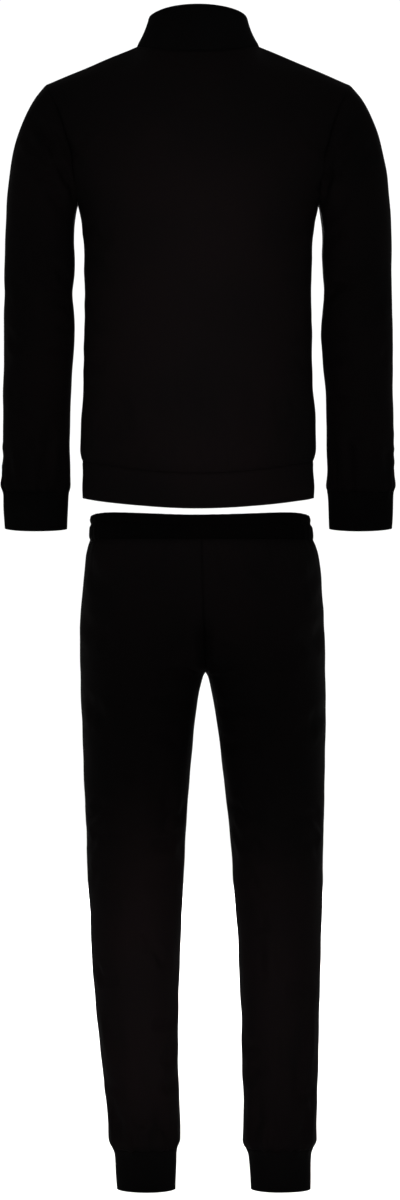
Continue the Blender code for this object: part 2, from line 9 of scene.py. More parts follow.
import bmesh
import bpy
import numpy as np
from mathutils import Matrix


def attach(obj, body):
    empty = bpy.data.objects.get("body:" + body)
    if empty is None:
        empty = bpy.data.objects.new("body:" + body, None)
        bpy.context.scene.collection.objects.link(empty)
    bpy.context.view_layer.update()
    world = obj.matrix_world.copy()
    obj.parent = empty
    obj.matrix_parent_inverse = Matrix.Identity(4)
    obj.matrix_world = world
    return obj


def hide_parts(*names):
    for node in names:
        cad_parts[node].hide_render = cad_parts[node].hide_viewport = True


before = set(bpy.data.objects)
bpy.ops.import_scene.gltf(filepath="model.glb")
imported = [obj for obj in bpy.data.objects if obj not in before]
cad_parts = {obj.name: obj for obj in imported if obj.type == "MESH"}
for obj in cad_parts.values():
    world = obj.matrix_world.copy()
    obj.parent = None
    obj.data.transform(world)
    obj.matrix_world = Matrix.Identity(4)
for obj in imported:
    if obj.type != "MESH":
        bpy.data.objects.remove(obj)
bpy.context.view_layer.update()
MM = 0.001

# Studio: a level camera behind the wearer, a white world and a white paper floor, and soft boxes near the camera and
# in front of the wearer. Two strip boxes with honeycomb grids light the middle of the back and the calves, and fall
# off towards the shoulders, forearms and thighs.
CAMERA_AWAY = 5.5
FRAME_TALL = 1.8
FILM_TALL = 24.0
view = bpy.data.cameras.new("camera")
view.sensor_fit = "VERTICAL"
view.sensor_height = FILM_TALL
view.sensor_width = 64.0
view.lens = FILM_TALL * CAMERA_AWAY / FRAME_TALL
view.clip_end = 60
camera = bpy.data.objects.new("camera", view)
camera.location = (0.0027, -CAMERA_AWAY, -0.828)
camera.rotation_euler = (radians(90), 0, 0)
bpy.context.collection.objects.link(camera)
bpy.context.scene.camera = camera
bpy.context.scene.view_settings.view_transform = "Standard"

studio = bpy.data.worlds.new("white studio")
studio.use_nodes = True
studio.node_tree.nodes["Background"].inputs["Color"].default_value = (1, 1, 1, 1)
studio.node_tree.nodes["Background"].inputs["Strength"].default_value = 1.06
bpy.context.scene.world = studio

shape = bmesh.new()
bmesh.ops.create_grid(shape, x_segments=1, y_segments=1, size=14)
bmesh.ops.translate(shape, verts=shape.verts, vec=(0, 0, -1.79))
floor_mesh = bpy.data.meshes.new("floor")
shape.to_mesh(floor_mesh)
shape.free()
floor = bpy.data.objects.new("floor", floor_mesh)
bpy.context.collection.objects.link(floor)


def linear(code):
    """An sRGB hex colour as linear light."""
    parts = [int(code[i : i + 2], 16) / 255 for i in (1, 3, 5)]
    return [part / 12.92 if part < 0.04045 else ((part + 0.055) / 1.055) ** 2.4 for part in parts] + [1]


def add_node(tree, kind, values, links=()):
    """Adds a node, sets its settings and sockets by name, and links (socket, output) pairs to it."""
    node = tree.nodes.new("ShaderNode" + kind)
    for name, value in values.items():
        if name in node.inputs:
            node.inputs[name].default_value = value
        else:
            setattr(node, name, value)
    for socket, output in links:
        tree.links.new(output, node.inputs[socket])
    return node


paper = bpy.data.materials.new("matt white paper")
paper.use_nodes = True
paper_surface = paper.node_tree.nodes["Principled BSDF"]
paper_surface.inputs["Base Color"].default_value = linear("#fcfcfb")
paper_surface.inputs["Roughness"].default_value = 0.9
floor_mesh.materials.append(paper)

for name, place, turn, power, wide, tall, tint, spread in (
    ("strip box on the back", (0.03, -6.6, -0.42), (90, 0, 0.3), 1.75, 0.2, 0.66, (1, 0.8, 0.85), 5),
    ("strip box on the calves", (0.03, -6.6, -1.42), (90, 0, 0.3), 1.5, 0.3, 0.42, (1, 0.76, 0.82), 4),
    ("low soft box behind", (0.1, -4.4, -1.4), (97, 0, 1), 38, 0.7, 0.6, (1, 0.9, 0.93), 180),
    ("soft box in front", (-0.2, 6.6, 0.4), (-80, 0, -2), 520, 2.4, 3.0, (1, 1, 1), 180),
):
    light = bpy.data.lights.new(name, "AREA")
    light.shape = "RECTANGLE"
    light.size, light.size_y, light.energy = wide, tall, power
    light.color, light.spread = tint, radians(spread)
    lamp = bpy.data.objects.new(name, light)
    lamp.location = place
    lamp.rotation_euler = [radians(angle) for angle in turn]
    lamp.visible_camera = False
    bpy.context.collection.objects.link(lamp)

# Jacket back: one panel of black brushed knit from the hem seam to the neck and shoulders, sewn to the fronts at
# the sides and to the sleeves at the armholes. Levels run from 0 at the hem seam to 1 at the armpit and 2 on top.
FINE = 8
BODY_CLOTH, DOUBLE_CLOTH = 1.8, 2.8
NECK_POINT = np.array([92.0, -8.0, 1.0])
NECK_BACK = np.array([0.0, -68.0, -14.0])
NECK_FRONT = np.array([0.0, 60.0, -72.0])
SHOULDER_POINT = np.array([227.7, -6.0, -55.5])
ZIP_HALF = 6.0
NECK_BACK_DIP, NECK_FRONT_DIP, RIM_DIP = 1.5, 1.2, 1.1
TOP_LEVEL, NECK_PULL_FROM = 2, 1.35
TORSO_SQUARENESS, TORSO_ROUNDNESS, SHOULDER_ROUNDNESS = 2.3, 0.5, 0.3
NECK_BACK_STRIPS, NECK_FRONT_STRIPS, SHOULDER_STRIPS, ARMHOLE_STRIPS = 4 * FINE, 5 * FINE, 4 * FINE, 10 * FINE


class Sections:
    """Named columns, a row for each section, and a smooth curve through each column."""

    def __init__(self, columns, rows):
        self.columns = columns.split()
        self.rows = np.array(sorted(rows), float)

    def at(self, column, place):
        """The column's value where the first column has the value place."""
        place_list, values = self.rows[:, 0], self.rows[:, self.columns.index(column)]
        step = np.diff(place_list)
        slope = np.diff(values) / step
        bend = np.concatenate([slope[:1], np.zeros(len(slope) - 1), slope[-1:]])
        for i in range(1, len(slope)):
            if slope[i - 1] * slope[i] > 0:
                bend[i] = 2 * slope[i - 1] * slope[i] / (slope[i - 1] + slope[i])
        i = int(np.clip(np.searchsorted(place_list, place) - 1, 0, len(step) - 1))
        t = (place - place_list[i]) / step[i]
        rise = values[i + 1] - values[i]
        return (
            values[i]
            + rise * t * t * (3 - 2 * t)
            + step[i] * t * (1 - t) * (bend[i] * (1 - t) - bend[i + 1] * t)
        )


TORSO_SIDE = Sections("level z half_width", [
    (-1.0, -675.2, 173.6), (-0.7, -659, 174.2), (-0.15, -629, 172.4), (0.0, -620, 172.6), (0.05, -602, 176.0),
    (0.16, -562, 176.0), (0.3, -508, 172.0), (0.55, -407, 170.2), (0.8, -312, 170.5), (0.92, -266, 174.2),
    (1.0, -234, 181.0),
])
BACK_LINE = Sections("level z y", [
    (-1.0, -693.3, -108), (0.0, -640.5, -109), (0.08, -610, -113), (0.3, -520, -109), (0.6, -400, -108),
    (1.0, -240, -118), (1.3, -172, -116), (1.6, -103, -106), (1.85, -46, -86), (2.0, -14, -68),
])
FRONT_LINE = Sections("level z y", [
    (-1.0, -687, 110), (0.0, -634, 111), (0.08, -606, 115), (0.3, -520, 114), (0.6, -404, 114),
    (1.0, -250, 113), (1.3, -197, 107), (1.6, -143, 95), (1.85, -98, 76), (2.0, -72, 60),
])
ARMHOLE = Sections("turn z back_x back_y front_x front_y", [
    (0.0, -234, 181.0, 0, 181.0, 0), (0.1, -230, 180.0, -20, 179.5, 22), (0.2, -220, 180.5, -37, 178.5, 39),
    (0.4, -184, 186.0, -53, 181.0, 56), (0.6, -140, 196.0, -51, 190.0, 54), (0.8, -94, 211.0, -40, 206.5, 42),
    (0.92, -66, 223.5, -25, 222.0, 17), (1.0, -55.5, 227.7, -6, 227.7, -6),
])
EASE_COLUMNS, EASE_TURNS, EASE_TOP, EASE_FROM = 14, 60, 0.12, 1.2
TORSO_LEVELS = np.concatenate([np.linspace(0, 1, 97), np.linspace(1, TOP_LEVEL, ARMHOLE_STRIPS + 1)[1:]])


def unit(vectors):
    return vectors / np.linalg.norm(vectors, axis=-1, keepdims=True)


def mix(a, b, t):
    return a + (b - a) * t


def quarter_turn(side, end, cosine, power):
    """A quarter of a neck or rim line, from its side (cosine 0) to its front or back end (cosine 1)."""
    x = side[0] * np.sqrt(1 - cosine**2)
    return np.stack([x, mix(side[1], end[1], cosine), mix(side[2], end[2], cosine**power)], axis=-1)


def neck_line(facing, cosine):
    """The seam between body and collar; facing is -1 at the back and 1 at the front."""
    if facing < 0:
        return quarter_turn(NECK_POINT, NECK_BACK, cosine, NECK_BACK_DIP)
    return quarter_turn(NECK_POINT, NECK_FRONT, cosine, NECK_FRONT_DIP)


def neck_cosines(facing):
    """How far round the neck each column lies, from the centre, or the zip's edge, to the neck's side."""
    first = 0 if facing < 0 else np.arcsin(ZIP_HALF / NECK_POINT[0])
    strips = NECK_BACK_STRIPS if facing < 0 else NECK_FRONT_STRIPS
    return np.cos(np.linspace(first, pi / 2, strips + 1))


def top_edge(facing):
    """Half of a body panel's upper edge: the neck seam from the centre, then the shoulder seam."""
    shoulder = [mix(NECK_POINT, SHOULDER_POINT, i / SHOULDER_STRIPS) for i in range(1, SHOULDER_STRIPS + 1)]
    return np.concatenate([neck_line(facing, neck_cosines(facing)), shoulder])


def torso_end(facing, level):
    """Where a row of the torso ends: on the side seam up to the armpit, and then on the armhole."""
    if level <= 1:
        return np.array([TORSO_SIDE.at("half_width", level), 0.0, TORSO_SIDE.at("z", level)])
    half = "back" if facing < 0 else "front"
    return np.array([ARMHOLE.at(f"{half}_{axis}", level - 1) for axis in "xy"] + [ARMHOLE.at("z", level - 1)])


def torso_arc(facing, level):
    """Half of a row of the torso, from the centre or the zip to its end, as one smooth arc."""
    line = BACK_LINE if facing < 0 else FRONT_LINE
    end = torso_end(facing, level)
    top_share = top_edge(facing)[:, 0] / SHOULDER_POINT[0]
    first = 0 if facing < 0 else ZIP_HALF / end[0]
    body_share = mix(first, 1, np.sin(np.linspace(0, pi / 2, len(top_share))))
    turn = max(level - 1, 0)
    share = mix(body_share, top_share, turn)
    share[-1] = 1
    if facing > 0:
        share[0] = ZIP_HALF / end[0]
    fullness = (1 - share**TORSO_SQUARENESS) ** (TORSO_ROUNDNESS + SHOULDER_ROUNDNESS * turn)
    y = mix(end[1], line.at("y", level), fullness)
    z = mix(line.at("z", level), end[2], share**2)
    return np.stack([share * end[0], y, z], axis=-1)


def torso_row(facing, level):
    """The smooth arc, drawn to the neck and shoulder seams as it nears them."""
    pull = np.clip((level - NECK_PULL_FROM) / (TOP_LEVEL - NECK_PULL_FROM), 0, 1) ** 2
    return torso_arc(facing, level) + pull * (top_edge(facing) - torso_arc(facing, TOP_LEVEL))


def mirrored(grid):
    """The same grid on the other side, its columns still running the same way round."""
    return (grid * [-1, 1, 1])[:, ::-1]


def half_round(row_of, facing, places):
    """Rows on the +X side: at the back from the centre to the side, at the front from the side to the zip."""
    rows = np.array([row_of(facing, place) for place in places])
    return rows if facing < 0 else rows[:, ::-1]


def eased(rows, facing):
    """Softens the corner that the neck's side leaves in the rows below it."""
    corner = NECK_BACK_STRIPS if facing < 0 else rows.shape[1] - 1 - NECK_FRONT_STRIPS
    beside = np.exp(-(((np.arange(rows.shape[1]) - corner) / EASE_COLUMNS) ** 2))
    upper, lower = (TOP_LEVEL - TORSO_LEVELS) / EASE_TOP, (TORSO_LEVELS - EASE_FROM) / EASE_TOP
    share = np.outer(np.clip(upper, 0, 1) * np.clip(lower, 0, 1), beside)[:, 1:-1, None]
    for _ in range(EASE_TURNS):
        rows[:, 1:-1] += share * (rows[:, :-2] + rows[:, 2:] - 2 * rows[:, 1:-1]) / 4
    return rows


def cut(name, grid, thickness, seams, flat, area, held, hangs_from=(), closed=False, ring=None, gathers=()):
    """A cut piece: its grid, the edges it is sewn along, its flat size and what it hangs from.
    ring is the centre, half widths and pucker counts round the part, and gathers are (edge, reach, depth)."""
    return {
        "name": name, "grid": grid, "thickness": thickness, "seams": seams, "closed": closed, "ring": ring,
        "gathers": gathers, "flat": flat, "area": area, "held": held, "hangs_from": hangs_from,
    }


TRUNK_RING = (0, 0, 172, 110, (31, 43, 56, 69), 4)
back_half = eased(half_round(torso_row, -1, TORSO_LEVELS), -1)
jacket = [cut(
    "back_panel", np.concatenate([mirrored(back_half)[:, :-1], back_half], axis=1), BODY_CLOTH,
    ("bottom", "top", "first", "last"), (0.54, 0.65), 0.295, "hung",
    ring=TRUNK_RING, gathers=(("bottom", 26, 0.6),),
)]

# Fronts: two panels of the same knit, from the side seams to the zip, their edges turned under beside the tapes.
front_half = eased(half_round(torso_row, 1, TORSO_LEVELS), 1)
for name, grid in (("front_panel_right", front_half), ("front_panel_left", mirrored(front_half))):
    jacket.append(cut(
        name, grid, BODY_CLOTH, ("bottom", "top", "first", "last"), (0.29, 0.63), 0.139, "hung",
        hangs_from=["back_panel"], ring=TRUNK_RING, gathers=(("bottom", 26, 0.6),),
    ))

# Hem band: doubled knit, folded along its lower edge and sewn, slightly stretched, to the body above.
BAND_LEVELS = np.linspace(-1, 0, 16)


def all_round(row_of, places):
    """Rows from the zip's left edge, round the back, to its right edge."""
    back, front = half_round(row_of, -1, places), half_round(row_of, 1, places)
    return np.concatenate([mirrored(front)[:, :-1], mirrored(back)[:, :-1], back[:, :-1], front], axis=1)


jacket.append(cut(
    "hem_band_knit", all_round(torso_row, BAND_LEVELS), DOUBLE_CLOTH, ("top", "first", "last"),
    (0.91, 0.054), None, "gathered", hangs_from=["back_panel"], ring=TRUNK_RING, gathers=(("top", 10, 0.6),),
))

# Collar: a doubled stand collar, folded at its rim, a little hollow at half height.
RIM_SIDE = np.array([73.5, -6.0, 42.0])
RIM_BACK = np.array([0.0, -65.0, 56.0])
RIM_FRONT = np.array([0.0, 57.0, -3.0])
COLLAR_WAIST = 2.5
COLLAR_UPS = np.linspace(0, 1, 18)


def rim_line(facing, cosine):
    """The collar's upper edge."""
    return quarter_turn(RIM_SIDE, RIM_BACK if facing < 0 else RIM_FRONT, cosine, RIM_DIP)


def collar_row(facing, up):
    """Half a row of the collar, from the centre or the zip to the side; up runs from 0 at the neck seam to 1."""
    row = mix(neck_line(facing, neck_cosines(facing)), rim_line(facing, neck_cosines(facing)), up)
    row[:, :2] -= COLLAR_WAIST * sin(pi * up) * unit(row[:, :2])
    if facing > 0:
        row[0, 0] = ZIP_HALF
    return row


jacket.append(cut(
    "stand_collar", all_round(collar_row, COLLAR_UPS), DOUBLE_CLOTH, ("bottom", "first", "last"),
    (0.53, 0.059), 0.028, "hung", hangs_from=["back_panel"],
))

# Sleeves: one cut piece each, sewn to a tube under the arm, set into the armhole, and bent a little forward.
SLEEVE_HEAD = 150
SLEEVE_DOWNS = np.concatenate([np.linspace(637, SLEEVE_HEAD, 122)[:-1], np.linspace(SLEEVE_HEAD, 0, 40)])
SLEEVE = Sections("down outer_x outer_z inner_x inner_z depth y tilt", [
    (0, 227.7, -55.5, 181.0, -234, 56, 0, 0),
    (28, 245.6, -78, 182.0, -240, 59, 0, 0),
    (58, 258.8, -102, 183.3, -248, 61, 0, 0),
    (93, 270.4, -132, 184.8, -258, 62, 1, 0),
    (130, 278.3, -163, 186.0, -271, 62, 2, 0),
    (175, 284.9, -199, 186.2, -289, 60, 4, 0),
    (225, 288.6, -243, 185.6, -310, 57, 7, 0.02),
    (275, 290.3, -296, 186.4, -337, 54, 11, 0.05),
    (330, 292.0, -358, 188.8, -367, 50, 17, 0.08),
    (380, 292.2, -412, 185.6, -416, 50, 24, 0.11),
    (430, 293.3, -462, 188.2, -464, 47, 31, 0.13),
    (490, 294.5, -522, 192.2, -522, 43, 40, 0.15),
    (550, 295.6, -582, 194.1, -582, 39, 49, 0.16),
    (610, 296.6, -636, 195.0, -636, 37, 58, 0.17),
    (628, 298.0, -653, 194.4, -653, 37, 60, 0.17),
    (637, 296.9, -660, 195.4, -660, 34, 61, 0.17),
    (643, 295.4, -666, 196.5, -666, 32, 62, 0.17),
    (667, 294.8, -690, 197.5, -690, 31, 65, 0.17),
    (697, 293.8, -718.8, 198.7, -719.4, 30, 69, 0.17),
])


def sleeve_oval(down, turns, facing):
    """Half a ring of the sleeve, from its inner point (turn 0) to its outer point (turn 1)."""
    outer = np.array([SLEEVE.at("outer_x", down), SLEEVE.at("outer_z", down)])
    inner = np.array([SLEEVE.at("inner_x", down), SLEEVE.at("inner_z", down)])
    xz = mix(inner, outer, ((1 - np.cos(pi * turns)) / 2)[:, None])
    sway = facing * SLEEVE.at("depth", down) * np.sin(pi * turns)
    z = xz[:, 1] + SLEEVE.at("tilt", down) * sway
    return np.stack([xz[:, 0], SLEEVE.at("y", down) + sway, z], axis=-1)


def sleeve(downs):
    """Rings from the lowest up, each from the inner point round the back, the outer point and the front."""
    turns = np.linspace(0, 1, ARMHOLE_STRIPS + 1)
    armhole = {facing: np.array([torso_end(facing, 1 + turn) for turn in turns]) for facing in (-1, 1)}
    rings = []
    for down in downs:
        pull = np.clip(1 - down / SLEEVE_HEAD, 0, 1) ** 2
        halves = [
            sleeve_oval(down, turns, facing) + pull * (armhole[facing] - sleeve_oval(0, turns, facing))
            for facing in (-1, 1)
        ]
        rings.append(np.concatenate([halves[0], halves[1][-2::-1]]))
    return np.array(rings)


CUFF_RING = {"right": (243.5, 60, 50, 36, (9, 13, 17, 22), 11), "left": (-243.5, 60, 50, 36, (10, 14, 19, 23), 12)}
for side in ("right", "left"):
    tube = sleeve(SLEEVE_DOWNS)
    jacket.append(cut(
        f"sleeve_knit_{side}", tube if side == "right" else mirrored(tube), BODY_CLOTH,
        ("bottom", "top", "first"), (0.49, 0.64), 0.176, "hung", hangs_from=["back_panel"], closed=True,
        ring=CUFF_RING[side], gathers=(("bottom", 30, 1.1),),
    ))

# Sleeve cuffs: doubled knit tubes, folded at the wrist and drawn in where the sleeve is sewn on.
CUFF_DOWNS = np.linspace(697, 637, 17)
for side in ("right", "left"):
    tube = sleeve(CUFF_DOWNS)
    jacket.append(cut(
        f"wrist_cuff_{side}", tube if side == "right" else mirrored(tube), DOUBLE_CLOTH, ("top", "first"),
        (0.26, 0.06), None, "gathered", hangs_from=[f"sleeve_knit_{side}"], closed=True,
        ring=CUFF_RING[side], gathers=(("top", 9, 1.1),),
    ))

# Leg panels: four of the same brushed knit, sewn at the outer seams, inseams and the two centre seams. They hang
# full over the ankle cuffs and are gathered into the waistband.
WAIST_CENTRE, CROTCH_CENTRE, CROTCH_SPREAD = 4.6, 10.9, 1.6
CROTCH_Z, WAIST_SEAM, WAIST_EDGE, WAIST_LIFT, ANKLE_SEAM = -935.4, -738, -702, 5.2, -1647
LEG_STRIPS = 9 * FINE
HIPS = Sections("z left right back front y", [
    (-702, -160.8, 166.6, 102, 95, 0), (-709, -162.2, 168.6, 104, 97, 0), (-714, -161.4, 168.6, 103, 96, 0),
    (-720, -163.0, 171.2, 106, 98, 0), (-732, -163.6, 172.2, 107, 99, 0), (-738, -162.6, 172.4, 107, 99, 0),
    (-748, -165.4, 176.0, 111, 102, 0), (-762, -168.2, 179.6, 114, 103, 0), (-805, -172.1, 184.4, 121, 105, 0),
    (-850, -176.6, 187.6, 124, 104, 0), (-890, -177.6, 189.2, 121, 102, 0), (-935.4, -176.5, 190.3, 112, 99, 0),
])
LEGS = Sections("z left_out left_in right_in right_out back front y", [
    (-935.4, -176.5, 10.9, 10.9, 190.3, 112, 99, 0),
    (-941, -176.5, 7.4, 14.6, 190.4, 110, 98, 0),
    (-952, -176.5, 4.5, 17.7, 190.7, 108, 98, 0),
    (-973, -176.0, 0.5, 21.2, 190.9, 104, 96, 1),
    (-1008, -174.6, -4.5, 26.6, 190.9, 97, 91, 2),
    (-1068, -172.2, -10.5, 35.0, 190.0, 90, 86, 5),
    (-1128, -170.5, -15.0, 42.2, 189.0, 83, 82, 8),
    (-1188, -167.6, -19.0, 47.8, 188.0, 78, 80, 9),
    (-1248, -165.0, -22.0, 52.6, 186.9, 77, 74, 7),
    (-1308, -162.1, -24.4, 57.0, 185.3, 77, 67, 3),
    (-1368, -158.8, -27.4, 61.0, 184.1, 75, 62, 0),
    (-1428, -154.9, -30.0, 63.6, 182.4, 70, 58, -3),
    (-1488, -147.6, -30.3, 65.8, 180.3, 64, 55, -6),
    (-1548, -141.1, -29.3, 66.9, 178.9, 59, 54, -8),
    (-1608, -134.8, -28.0, 67.7, 177.1, 57, 54, -9),
    (-1636, -133.0, -27.5, 67.6, 176.1, 57, 55, -9),
    (-1647, -128.4, -31.3, 72.0, 170.8, 50, 48, -9),
    (-1656, -125.3, -32.6, 75.8, 168.4, 45, 43, -9),
    (-1686, -123.4, -33.0, 77.7, 168.0, 44, 42, -9),
    (-1709, -122.2, -33.8, 78.8, 168.0, 43, 41, -9),
])
LEG_HEIGHTS = np.concatenate([
    np.linspace(ANKLE_SEAM, -1600, 14)[:-1], np.linspace(-1600, -960, 145)[:-1],
    np.linspace(-960, CROTCH_Z, 9)[:-1], np.linspace(CROTCH_Z, WAIST_SEAM, 50),
])


def waist_lift(z, angles):
    """The waistband's upper edge stands higher between its sides and its middle."""
    share = max(z - WAIST_SEAM, 0) / (WAIST_EDGE - WAIST_SEAM)
    return share * WAIST_LIFT * (1 - np.sin(angles) ** 4) * (1 - np.cos(angles) ** 12)


def leg_arc(side, facing, z):
    """Half a ring of one leg, from its outer seam to the inseam or, above the crotch, to the centre seam."""
    if z > CROTCH_Z:
        table, name = HIPS, "left" if side < 0 else "right"
        rise = min((z - CROTCH_Z) / (WAIST_SEAM - CROTCH_Z), 1)
        middle = mix(CROTCH_CENTRE, WAIST_CENTRE, rise)
        width = abs(table.at(name, z) - middle)
        spread = width / 2 * (1 - rise) ** CROTCH_SPREAD
        reach = width - spread
        last = np.arccos(-spread / reach)
        centre = middle + side * spread
    else:
        table, name = LEGS, "left" if side < 0 else "right"
        outer, inner = table.at(f"{name}_out", z), table.at(f"{name}_in", z)
        centre, reach, last = (outer + inner) / 2, abs(outer - inner) / 2, pi
    depth = table.at("back" if facing < 0 else "front", z)
    angles = np.linspace(0, last, LEG_STRIPS + 1)
    x = centre + side * reach * np.cos(angles)
    y = table.at("y", z) + facing * depth * np.sin(angles)
    return np.stack([x, y, z + waist_lift(z, angles)], axis=-1)


def leg_panel(side, facing, heights):
    """A leg panel, whose columns run the way that all rings do: left, back, right, front."""
    rows = np.array([leg_arc(side, facing, z) for z in heights])
    return rows if side * facing > 0 else rows[:, ::-1]


WAIST_RING = (4.6, 0, 168, 104, (37, 52, 66, 81), 21)
ANKLE_RING = {-1: (-79, -9, 47, 49, (11, 15, 20, 26), 31), 1: (122, -9, 49, 49, (12, 16, 19, 25), 32)}
joggers = []
for side, number in (("left", -1), ("right", 1)):
    for part, facing, flat, area in (("back", -1, (0.32, 0.95), 0.225), ("front", 1, (0.3, 0.94), 0.212)):
        joggers.append(cut(
            f"leg_{part}_{side}", leg_panel(number, facing, LEG_HEIGHTS), BODY_CLOTH,
            ("bottom", "top", "first", "last"), flat, area, "hung", hangs_from=["elastic_waistband"],
            ring=ANKLE_RING[number], gathers=(("bottom", 34, 1.3),),
        ))

# Waistband: doubled knit over two rows of elastic, stitched through between them, so that it puckers all round.
WAIST_HEIGHTS = np.linspace(WAIST_SEAM, WAIST_EDGE, 17)
quarters = [(-1, -1), (1, -1), (1, 1), (-1, 1)]
band = [leg_panel(number, facing, WAIST_HEIGHTS)[:, :-1] for number, facing in quarters]
band.append(band[0][:, :1])
joggers.append(cut(
    "elastic_waistband", np.concatenate(band, axis=1), DOUBLE_CLOTH, ("bottom", "middle"),
    (0.87, 0.04), None, "gathered", closed=True, ring=WAIST_RING, gathers=(("bottom", 60, 0.7),),
))
for piece in joggers[:4]:
    piece["waist_ring"] = WAIST_RING

# Ankle cuffs: doubled knit tubes, folded at the ankle and drawn in where the legs are sewn on.
ANKLE_HEIGHTS = np.linspace(-1709, ANKLE_SEAM, 17)
for side, number in (("left", -1), ("right", 1)):
    halves = [leg_panel(number, facing, ANKLE_HEIGHTS)[:, :-1] for facing in (-1, 1)]
    tube = np.concatenate(halves, axis=1)
    joggers.append(cut(
        f"ankle_cuff_knit_{side}", np.concatenate([tube, tube[:, :1]], axis=1), DOUBLE_CLOTH, ("top", "first"),
        (0.29, 0.063), None, "gathered", hangs_from=[f"leg_back_{side}"], closed=True,
        ring=ANKLE_RING[number], gathers=(("top", 9, 1.3),),
    ))

# Folds and creases: the large folds first, then the creases, which run across seams as cloth pulled at the
# armholes, elbows, hips, knees and ankles does. Each is a soft trough or, where its depth is above 0, a ridge.
FOLDS = Sections("number x1 y1 z1 x2 y2 z2 width depth mirror", [
    (1, 252, -40, -112, 204, -52, -196, 13, -5.0, 1),
    (2, 238, -52, -150, 196, -46, -226, 12, 3.0, 1),
    (3, 212, 62, -130, 196, 56, -205, 13, -4.0, 1),
    (4, 188, -14, -366, 232, -44, -348, 12, -4.0, 1),
    (5, 188, 40, -366, 225, 62, -392, 12, -4.0, 1),
    (6, 272, 60, -330, 284, 28, -366, 14, -2.5, 1),
    (7, 282, 12, -470, 215, -14, -498, 15, -2.5, 1),
    (8, 60, -112, -604, 150, -62, -590, 14, 2.5, 1),
    (9, 170, -28, -506, 118, -80, -530, 14, -3.0, 1),
    (10, 36, -112, -905, 118, -100, -952, 16, -3.5, 0),
    (11, -16, -112, -905, -96, -104, -946, 16, -3.5, 0),
    (12, -28, -18, -1200, -104, -66, -1174, 16, -4.0, 0),
    (13, 58, -16, -1206, 128, -68, -1182, 16, -4.0, 0),
    (14, -40, -50, -1616, -126, -44, -1608, 12, -4.0, 0),
    (15, 76, -44, -1608, 168, -44, -1618, 12, -4.0, 0),
])
